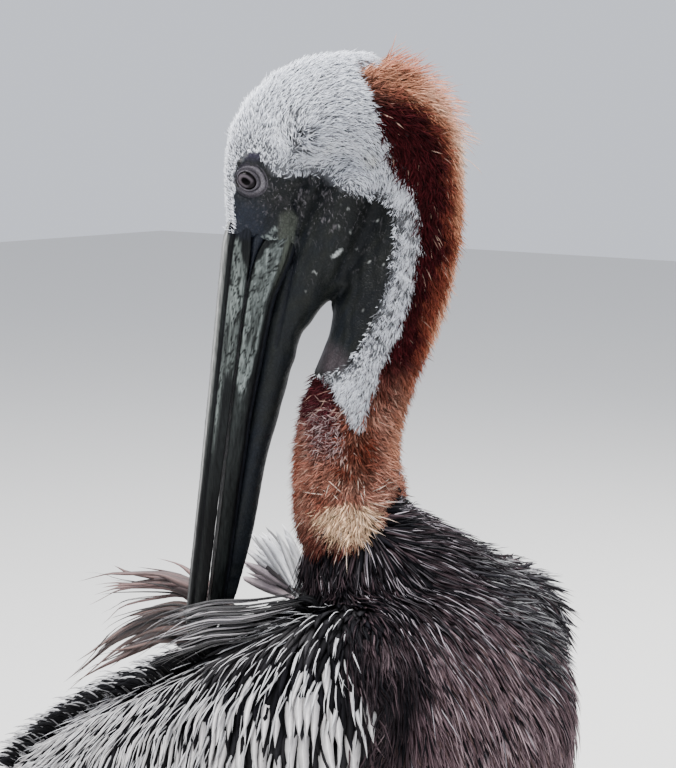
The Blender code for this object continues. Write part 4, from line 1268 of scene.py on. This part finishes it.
def buildGape(material):   # the fold of dark skin that closes the corner of the mouth
    rings, around = 40, 48
    shares = np.linspace(-0.05, 0.085, rings)
    below = np.interp(shares, [-0.05, 0.0, 0.085], [0.015, 0.011, 0.0086])
    depth = np.interp(shares, [-0.05, 0.0, 0.04, 0.085], [0.006, 0.0046, 0.0024, 0.0004])
    width = np.interp(shares, [-0.05, 0.0, 0.085], [0.012, 0.0152, 0.014])
    turn = np.linspace(0, 2 * np.pi, around, endpoint=False)
    right = width[:, None] * np.abs(np.cos(turn)) ** 0.6 * np.sign(np.cos(turn))
    under = below[:, None] + depth[:, None] * np.sin(turn)
    points = billPoint(np.broadcast_to(shares[:, None], right.shape), under, right)
    uneven = 0.0002 * ripple(points.reshape(-1, 3), 0.004, 121).reshape(rings, around, 1)
    obj = loft("gapeSkin", points + uneven * across)
    paint(obj, (0.008, 0.01, 0.015))
    settle(obj, material)


# dull horn with long fibres: the tint, darkened in streaks, scratched and unevenly shiny
def hornMaterial(name):
    tree, finish = newMaterial(name)
    place = objectPlace(tree)
    fibres = noise(tree, drawnOut(tree, place, (0.06, -0.09, 0), (1, 1, 0.1)), 900, 6, Roughness=0.6)
    chips = noise(tree, place, 420, 4)
    shade = ranged(tree, fibres, 0.45, 1.5, 0.3, 0.7)
    heights = reckon(tree, "MULTIPLY_ADD", chips, 0.5, fibres)
    return finish({"Base Color": scaled(tree, attribute(tree, "tint", "Color"), shade),
                   "Specular IOR Level": 0.07, "Roughness": ranged(tree, chips, 0.24, 0.6),
                   "Normal": bump(tree, heights, 0.55, 0.0006)})


eyeSpec = {"radius": 0.008, "rim": 0.0065, "opening": 0.0051, "lidReach": 0.0112}


def buildEyes(ground):
    iris = eyeMaterial()
    lid = leatherMaterial("lidSkin", 0.48, scale=700, distance=0.0003, contrast=0.3)
    for side, sign in (("left", -1), ("right", 1)):
        middle = eyes[side]
        axis = unit(sign * across + 0.2 * heading + 0.09 * tiltedUp)
        deselectAll()
        bpy.ops.mesh.primitive_uv_sphere_add(segments=64, ring_count=48, radius=eyeSpec["radius"])
        eye = bpy.context.active_object
        eye.name = side + "Eye"
        turn = Vector(axis).to_track_quat("Z", "Y").to_matrix().to_4x4()
        eye.data.transform(Matrix.Translation(Vector(middle)) @ turn)
        eye.location = (0, 0, 0)
        eye.data.update()
        shadeSmooth(eye)
        offset = vertexRows(eye) - middle
        fore = offset @ unit(heading - (heading @ axis) * axis) - 0.0005
        high = offset @ tiltedUp - 0.0003
        apart = np.hypot((fore + 0.6 * high) * 0.8, (high - 0.6 * fore) * 1.25)
        mark(eye, "apart", "FLOAT", "value", np.where(offset @ axis > 0, apart, 1.0))
        # painted shade on the eye: darker towards its lower nape side and under the upper lid
        dusk = ease(0.0022, 0.004, -0.68 * fore - 0.73 * high)
        dusk = np.maximum(dusk, 0.6 * ease(0.003, 0.0044, 0.8 * high - 0.6 * fore))
        mark(eye, "dusk", "FLOAT", "value", dusk)
        settle(eye, iris, ["eye_" + side])
        buildLid(ground, side, middle, axis, lid)


lidSpec = {"turns": 120, "rings": 46, "skin": (0.05, 0.045, 0.054), "cheek": (0.012, 0.011, 0.016),
           "lit": (0.14, 0.132, 0.145), "crease": (0.01, 0.009, 0.012), "rim": (0.01, 0.009, 0.01)}


# the lids and the rings of folded skin about one eye, from the eyeball out to the cheek
def buildLid(ground, side, middle, axis, material):
    first = unit(np.cross(axis, tiltedUp))
    second = np.cross(axis, first)
    shares = np.linspace(0, 1, lidSpec["rings"])
    opening, reach, radius = eyeSpec["opening"], eyeSpec["lidReach"], eyeSpec["radius"]
    rows, tints = [], []
    for angle in np.linspace(0, 2 * np.pi, lidSpec["turns"], endpoint=False):
        way = math.cos(angle) * first + math.sin(angle) * second
        nape = -float(way @ heading)
        back = max(nape, 0)
        low = max(-float(way @ tiltedUp), 0)
        corner = max(float(way @ (0.8 * tiltedUp - 0.6 * heading)), 0)
        start = opening * (1.02 + 0.15 * (2 * float(way @ (0.78 * heading + 0.62 * tiltedUp)) ** 2 - 1))
        outer = middle + way * reach * (1 + 0.03 * math.sin(3 * angle) + 0.2 * nape)
        found = ground.tree.ray_cast(Vector(outer + axis * 0.03), Vector(-axis))[0]
        outerHeight = min(max((np.array(found) - outer) @ axis, -0.004), 0.0085) if found else 0.0
        innerHeight = math.sqrt(radius ** 2 - start ** 2) + 0.0003
        distance = start + (np.linalg.norm(outer - middle) - start) * shares
        waver = 0.05 * math.sin(2 * angle + 1) + 0.02 * math.sin(5 * angle)
        fold = (0.00065 * bell(shares, 0.1, 0.07)
                + (0.00045 + 0.0007 * back) * bell(shares - waver, 0.5, 0.08 + 0.09 * back)
                + 0.0005 * back * bell(shares - waver, 0.84, 0.06)
                + 0.00006 * np.sin(shares * 60 + 3 * math.sin(angle * 7)))
        height = innerHeight + (outerHeight - innerHeight) * (shares ** 1.35)
        height = height + fold - 0.0011 * ease(0.86, 1.0, shares)
        points = middle + way * distance[:, None] + axis * height[:, None]
        behind = middle + way * (distance[-1] - 0.0012) + axis * (height[-1] - 0.0016)
        inner = middle + way * (start + 0.0004) + axis * (innerHeight - 0.0018)
        rows.append(np.concatenate([points, [behind], [inner]]))
        lit = np.clip(fold / 0.0008, 0, 1) ** 1.5
        lit = lit * (0.75 + 0.25 * math.sin(3 * angle + 1) * np.sin(shares * 9))
        glow = min(0.35 + 0.6 * back + 0.15 * low, 1.0) * (0.85 + 0.15 * math.sin(5 * angle))
        # painted shade in the troughs between the folds
        crease = np.maximum(bell(shares - waver, 0.27, 0.045) * (0.75 - 0.35 * math.sin(angle + 2.2)),
                            0.6 * bell(shares - waver, 0.72, 0.04) * back)
        cheek = ease(0.42 + 0.36 * nape, 0.82 + 0.14 * nape, shares)
        colour = layered(lidSpec["skin"], (lidSpec["cheek"], cheek), (lidSpec["lit"], lit * glow),
                         (lidSpec["crease"], crease.clip(0, 1)),
                         (lidSpec["rim"], bell(shares, 0, 0.03 + 0.09 * corner)))
        tints.append(np.concatenate([colour, [colour[-1]], [(0.01, 0.01, 0.01)]]))
    grid = np.stack(rows)
    spots = np.arange(grid.shape[0] * grid.shape[1]).reshape(grid.shape[:2])
    after = np.roll(spots, -1, axis=0)
    quads = [spots, np.roll(spots, -1, axis=1), np.roll(after, -1, axis=1), after]
    corners = np.stack(quads, -1).ravel()
    obj = meshObject(side + "Lids", grid.reshape(-1, 3), corners, np.arange(0, len(corners), 4))
    editMesh(obj.data, closeUp)
    paint(obj, np.concatenate(tints))
    settle(obj, material)


def eyeMaterial():   # wet eye: dark pupil, grey-brown iris with fine rays, dark rim
    tree, finish = newMaterial("wetEye")
    rays = noise(tree, objectPlace(tree), 900, 5)
    wander = reckon(tree, "MULTIPLY_ADD", rays, 0.0004, attribute(tree, "apart"))
    ramp = tree.nodes.new("ShaderNodeValToRGB")
    stops = [(0.0, (0.0012, 0.001, 0.0012)), (0.4, (0.0012, 0.001, 0.0012)), (0.47, (0.026, 0.022, 0.025)),
             (0.6, (0.066, 0.056, 0.064)), (0.76, (0.056, 0.048, 0.055)), (0.86, (0.018, 0.015, 0.018)),
             (0.96, (0.006, 0.005, 0.006))]
    band = ramp.color_ramp.elements
    while len(band) < len(stops):
        band.new(0.5)
    for element, (spot, colour) in zip(band, stops):
        element.position = spot
        element.color = (*colour, 1)
    give(tree, ramp.inputs["Fac"], ranged(tree, wander, 0.0, 1.0, end=eyeSpec["rim"]))
    # painted shade: the dusk value darkens the eye's colour
    light = ranged(tree, attribute(tree, "dusk"), 1.0, 0.16)
    return finish({"Base Color": scaled(tree, ramp.outputs["Color"], light), "Roughness": 0.16,
                   "Coat Weight": 0.03, "Coat Roughness": 0.05, "Specular IOR Level": 0.03})


legSpec = {"ankle": (0.0523, 0.05), "toeOut": 8, "toes": [(16, 0.098), (-6, 0.11), (-32, 0.086), (-78, 0.05)],
           "claw": 0.011, "voxel": 0.00125, "smooth": 3, "scute": 0.0036, "toeScute": 0.0034,
           "dark": (0.018, 0.019, 0.021), "pale": (0.06, 0.06, 0.058)}


def buildLegs():
    skinFinish = leatherMaterial("footSkin", 0.45, scale=330, distance=0.0007, contrast=0.5)
    clawFinish = hornMaterial("clawHorn")
    for side, sign in (("left", 1), ("right", -1)):
        ankle = nodeMiddle("shank_" + side)[:2]
        for part in ("foot", "shank"):
            node = part + "_" + side
            obj = copyOfNode(node, 0.0)
            obj.name = part + side.capitalize()
            evenOut(obj, legSpec["voxel"], legSpec["smooth"])
            points, normals = vertexRows(obj), normalRows(obj)
            if part == "foot":
                scutes = np.sin(np.hypot(*(points[:, :2] - ankle).T) * np.pi / legSpec["toeScute"])
                top = ease(0.2, 0.7, normals[:, 2])
            else:
                scutes = np.sin(points[:, 2] * np.pi / legSpec["scute"] + 0.6 * np.sin(points[:, 1] * 900))
                top = 1.0
            scutes = np.abs(scutes)
            rise = (0.0003 * scutes + 0.00015 * ripple(points, 0.006, 81)) * top
            points = points + normals * (rise - 0.0004)[:, None]
            points[:, 2] = np.maximum(points[:, 2], 0.0)
            setVertexRows(obj, points)
            shadeSmooth(obj)
            share = 0.4 + 0.3 * ripple(points, 0.02, 83) + 0.3 * scutes
            paint(obj, mixRows(legSpec["dark"], legSpec["pale"], share))
            settle(obj, skinFinish, [node])
        heel = np.array((legSpec["ankle"][0], sign * legSpec["ankle"][1], 0))
        for number, (angle, reach) in enumerate(legSpec["toes"]):
            turn = math.radians(angle + legSpec["toeOut"])
            way = np.array((math.cos(turn), sign * math.sin(turn), 0))
            obj = buildClaw(side + "Claw" + str(number), heel + way * (reach - 0.005), way)
            settle(obj, clawFinish)


def buildClaw(name, base, way):
    rows, side = [], np.cross(way, upward)
    angles = np.linspace(0, 2 * np.pi, 14, endpoint=False)[:, None]
    for share in np.linspace(0, 1, 14):
        thick = 0.0019 * (1 - share) ** 0.7 + 0.0002
        lift = 0.0025 - 0.0016 * share ** 1.6
        middle = base + way * legSpec["claw"] * 0.62 * share + upward * max(lift, thick + 0.0001)
        rows.append(middle + side * (np.cos(angles) * thick * 0.8) + upward * (np.sin(angles) * thick))
    obj = loft(name, np.stack(rows))
    paint(obj, (0.03, 0.028, 0.026))
    return obj


def nodeSpine(name, way, bins):   # middle and half size of a CAD piece in steps along one direction
    points = vertexRows(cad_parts[name])
    way = unit(np.array(way, float))
    along = points @ way
    edges = np.linspace(along.min(), along.max(), bins + 1)
    side = unit(np.cross(way, upward))
    lift = np.cross(side, way)
    rows = []
    for low, high in zip(edges, edges[1:]):
        inside = points[(along >= low - 0.006) & (along <= high + 0.006)]
        inside = inside if len(inside) else points[[np.argmin(np.abs(along - (low + high) / 2))]]
        middle = (inside.min(0) + inside.max(0)) / 2
        rows.append((middle, np.ptp(inside @ side) / 2, np.ptp(inside @ lift) / 2))
    rows[0] = (points[along <= edges[0] + 0.003].mean(0), rows[0][1], rows[0][2])
    rows[-1] = (points[along >= edges[-1] - 0.003].mean(0), rows[-1][1] * 0.5, rows[-1][2] * 0.5)
    return [np.array(column) for column in zip(*rows)]


def smoothRows(rows, count):   # a rounded curve through rows, with evenly spaced shares
    shares = np.linspace(0, len(rows) - 1, count)
    base = np.minimum(shares.astype(int), len(rows) - 2)
    part = (shares - base)[:, None]
    before, here = rows[np.maximum(base - 1, 0)], rows[base]
    after, later = rows[base + 1], rows[np.minimum(base + 2, len(rows) - 1)]
    return 0.5 * (2 * here + (after - before) * part + (2 * before - 5 * here + 4 * after - later) * part ** 2
                  + (3 * here - before - 3 * after + later) * part ** 3)


def framesAlong(spine, hint):   # sides and lifts for feathers whose spines are given
    ways = unit(np.gradient(spine, axis=1))
    sides = unit(np.cross(ways, np.broadcast_to(hint, spine.shape)))
    return np.cross(sides, ways), sides


# the long loose feathers beside the bill, each tuft a bundle that follows its CAD form
def buildPlumes():
    plumes = [  # node, way, count, width, base, tip, spread, droop
        ("scapular_plume_upper", (-1, 0, 0.05), 24, 0.0076, (0.026, 0.016, 0.016), (0.235, 0.14, 0.13),
         0.95, 0.008),
        ("scapular_plume_lower", (-1, 0, -0.25), 30, 0.0086, (0.03, 0.019, 0.018), (0.25, 0.15, 0.132),
         0.95, 0.005),
        ("mantle_tuft", (-1, 0.05, -0.1), 64, 0.0019, (0.16, 0.15, 0.16), (0.74, 0.7, 0.73), 1.15, 0.004)]
    stations, fine = len(plumeShape), 60
    away = np.linspace(0, 1, stations) ** 2.2
    for seed, (node, way, count, width, base, tip, spread, droop) in enumerate(plumes):
        rng = np.random.default_rng(200 + seed)
        tuft = node == "mantle_tuft"
        middles, widths, heights = nodeSpine(node, way, 7)
        way = unit(np.array(way, float))
        side = unit(np.cross(way, upward))
        lift = np.cross(side, way)
        spine = []
        for _ in range(count):
            level, high = rng.uniform(-1, 1, 2) * spread
            first, last = rng.uniform(0.0, 0.2), rng.uniform(0.55, 1.0)
            rows = middles + side * (widths * level * 0.7)[:, None] + lift * (heights * high * 0.9)[:, None]
            reached = np.linspace(first, last, stations) * (fine - 1)
            curve = readAt(reached, np.arange(fine), smoothRows(rows, fine))
            fall = rng.normal(0, droop) + droop * 0.6 * high + 0.004 * tuft
            swing = rng.normal(0, droop * 0.5)
            raised = away * fall + 0.0035 * tuft
            spine.append(curve + lift * raised[:, None] + side * (away * swing)[:, None])
        spine = np.stack(spine)
        hint = unit(lift + 0.9 * np.array((0.64, -0.76, 0.0)) + rng.normal(0, 0.25, (count, 1, 3)))
        tone = rng.uniform(0.4, 1.15, (count, 1))
        half = rng.uniform(0.5, 1.15, count)
        thin = rng.random(count) < 0.3
        tone = np.where(thin[:, None] | (rng.random((count, 1)) < (0.5 if tuft else 0.0)), 0.08, tone)
        half = np.where(thin, half * 0.25, half)
        base, tip, letter = base * tone, tip * tone, "ABC"[seed]
        plant("plume" + letter, (spine, *framesAlong(spine, hint)), width * half, plumeShape, 0.0006,
              (base, tip, tip * 0.25), spine[:, 0], "body", (0.5, 0.15, 46), "silver_plumage", [node],
              "plumeCoat" + letter, fade=0.6)
    buildFan()


fanSpec = {"count": 34, "width": (0.0038, 0.007), "tip": (0.97, 0.96, 0.98), "low": (0.44, 0.36, 0.38),
           "seed": 204}


def buildFan():   # the pale tuft between the bill and the neck, spread like a fan from one root
    count, rng = fanSpec["count"], np.random.default_rng(fanSpec["seed"])
    low, high = [np.array(corner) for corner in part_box("ruffled_tuft")]
    root = np.array((high[0] - 0.001, (low[1] + high[1]) / 2, low[2] + 0.004))
    shares = np.linspace(0, 1, len(fanShape))[:, None]
    spine = []
    for number in range(count):
        opened = number / (count - 1) + rng.normal(0, 0.03)
        angle = math.radians(6 + 74 * opened)
        reach = np.interp(opened, [0, 0.3, 0.6, 1.0], [0.048, 0.056, 0.06, 0.05]) * rng.uniform(0.72, 1.02)
        way = np.array((-math.cos(angle), 0.1 * rng.normal(), math.sin(angle)))
        bend = np.array((-0.011, 0, -0.013)) * opened * rng.uniform(0.4, 1.3)
        start = root + (rng.uniform(-0.006, 0.0), rng.uniform(-0.006, 0.006), rng.uniform(-0.003, 0.004))
        spine.append(start + way * reach * shares + bend * shares ** 2)
    spine = np.clip(np.stack(spine), low - 0.006, high + 0.01)
    frames = framesAlong(spine, (0.45, -0.85, 0.2) + rng.normal(0, 0.12, (count, 1, 3)))
    tone = rng.uniform(0.88, 1.08, (count, 1))
    tone = np.where(rng.random((count, 1)) < 0.18, 0.14, tone)
    tip = mixRows(fanSpec["tip"], fanSpec["low"], ease(0.42, 0.22, np.linspace(0, 1, count))) * tone
    plant("ruffledFan", (spine, *frames), rng.uniform(*fanSpec["width"], count), fanShape, 0.0006,
          (tip * 0.9, tip, tip * 0.8), spine[:, 0], "body", (0.55, 0.15, 46), "silver_plumage",
          ["ruffled_tuft"], "fanCoat", fade=0.7)


# base, tip and edge colours of the long feathers
wingTints = [(0.03, 0.026, 0.027), (0.02, 0.017, 0.018), (0.055, 0.048, 0.05)]
tailTints = [(0.06, 0.055, 0.056), (0.16, 0.15, 0.155), (0.21, 0.2, 0.205)]
flightSpec = {"count": 17, "width": 0.0135, "thick": 0.0009, "seed": 300}
tailSpec = {"count": 18, "width": 0.0165, "thick": 0.001, "seed": 310}


def buildFlight():   # primaries and secondaries of each folded wing
    count, stations, fine = flightSpec["count"], len(flightShape), 60
    for side, sign in (("left", 1), ("right", -1)):
        rng = np.random.default_rng(flightSpec["seed"] + sign)
        middles, widths, heights = nodeSpine("wing_primaries_" + side, (-1, -0.25 * sign, -0.1), 6)
        spine = []
        for share in np.arange(count) / (count - 1):
            rows = (middles + np.array((0, sign, 0.0)) * (widths * (0.85 - 1.5 * share))[:, None]
                    + upward * (heights * (0.72 - 1.35 * abs(share - 0.15)))[:, None])
            reached = np.linspace(0, (fine - 1) * (1.0 - 0.62 * share), stations)
            spine.append(readAt(reached, np.arange(fine), smoothRows(rows, fine)))
        spine = np.stack(spine)
        tone = rng.uniform(0.8, 1.2, (count, 1))
        plant(side + "FlightFeathers", (spine, *framesAlong(spine, (0.05, sign * 0.75, 0.65))),
              np.full(count, flightSpec["width"]), flightShape, flightSpec["thick"],
              [tint * tone for tint in wingTints], spine[:, 0], "body", (0.42, 0.1, 70), "flight_feathers",
              ["wing_primaries_" + side], side + "FlightCoat")


def buildTail():
    count = tailSpec["count"]
    low, high = [np.array(corner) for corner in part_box("tail")]
    rng = np.random.default_rng(tailSpec["seed"])
    run = np.append(np.linspace(0.0, 0.985, len(tailShape) - 1), 1.0)
    spine, lifts = [], []
    for number in range(count):
        fromMiddle = number - (count - 1) / 2
        share = fromMiddle / ((count - 1) / 2)
        length = (high[0] - low[0]) * (1 - 0.1 * share ** 2) * rng.uniform(0.97, 1.0)
        x = high[0] + 0.002 - length * run
        y = share * (0.026 + 0.027 * run)
        z = high[2] - 0.012 - 0.03 * run - 0.006 * share ** 2 - 0.0003 * abs(fromMiddle)
        spine.append(np.stack([x, y, z], 1))
        lifts.append(np.tile((0.2, 0.18 * share, 1.0), (len(run), 1)))
    spine = np.stack(spine)
    tone = rng.uniform(0.8, 1.2, (count, 1))
    plant("tailFeathers", (spine, *framesAlong(spine, np.stack(lifts))), np.full(count, tailSpec["width"]),
          tailShape, tailSpec["thick"], [tint * tone for tint in tailTints], spine[:, 0], "body",
          (0.45, 0.1, 70), "flight_feathers", ["tail"], "tailCoat", fade=1.2)


view = {"azimuth": 40, "elevation": 8, "distance": 1.3, "lens": 97.5, "aimRight": -0.0056, "aimUp": 0.11,
        "floorSize": 12, "skyStrength": 0.95}
lamps = [  # name, place, power, size, colour
    ("keyLight", (-0.1, -1.1, 2.5), 104, 0.8, (1.0, 0.98, 0.94)),
    ("topLight", (0.1, 0.3, 2.4), 76, 1.4, (0.94, 0.97, 1.0)),
    ("fillLight", (1.8, -0.9, 1.2), 18, 1.6, (0.95, 0.97, 1.0)),
    ("rimLight", (0.4, 1.6, 1.5), 40, 1.0, (1.0, 0.97, 0.93))]
lampTarget = Vector((0.1, 0, 0.45))


def setStage():
    turn, rise = math.radians(view["azimuth"]), math.radians(view["elevation"])
    right = np.array((math.cos(turn), math.sin(turn), 0))
    ahead = np.array((-math.sin(turn) * math.cos(rise), math.cos(turn) * math.cos(rise), -math.sin(rise)))
    target = neckFoot + view["aimRight"] * right + view["aimUp"] * np.cross(right, ahead)
    camera = addObject("camera", bpy.data.cameras.new("camera"))
    camera.data.lens = view["lens"]
    camera.location = Vector(target - view["distance"] * ahead)
    camera.rotation_mode = "QUATERNION"
    camera.rotation_quaternion = Vector(ahead).to_track_quat("-Z", "Y")
    bpy.context.scene.camera = camera

    deselectAll()
    bpy.ops.mesh.primitive_plane_add(size=view["floorSize"], location=(0, 0, 0))
    floor = bpy.context.active_object
    floor.name = "floor"
    finish = newMaterial("paleFloor")[1]
    floor.data.materials.append(finish({"Base Color": (0.7, 0.69, 0.67, 1), "Roughness": 0.8}))

    world = bpy.data.worlds.new("studio")
    bpy.context.scene.world = world
    world.use_nodes = True
    sky = world.node_tree.nodes["Background"].inputs
    sky["Color"].default_value = (0.86, 0.9, 1.0, 1)
    sky["Strength"].default_value = view["skyStrength"]
    for name, place, power, size, colour in lamps:
        lamp = addObject(name, bpy.data.lights.new(name, "AREA"))
        lamp.data.energy = power
        lamp.data.size = size
        lamp.data.color = colour
        lamp.location = place
        lamp.rotation_euler = (lampTarget - Vector(place)).to_track_quat("-Z", "Y").to_euler()
    print("camera, floor and lights are up")


def main():
    setStage()
    skin, pouchMask = buildSkin()
    settle(skin, leatherMaterial("bareSkin", 0.5), fleshNodes)
    print("skin:", len(skin.data.polygons), "faces")
    ground = Ground(skin)
    pouchBare = pouchMask[ground.triangles].mean(1)
    growCap(ground)
    growNeck(ground, pouchBare)
    growWisps(ground, pouchBare)
    print("head and neck coat grown")
    growBody(ground, pouchBare)
    growStreaks(ground, pouchBare)
    growShoulder(ground)
    growSilver(ground)
    growComb(ground)
    print("body coat grown")
    buildBill()
    buildGape(leatherMaterial("gapeLeather", 0.5))
    buildEyes(ground)
    buildLegs()
    print("bill, eyes and legs built")
    buildPlumes()
    buildFlight()
    buildTail()
    print("long feathers laid")


main()
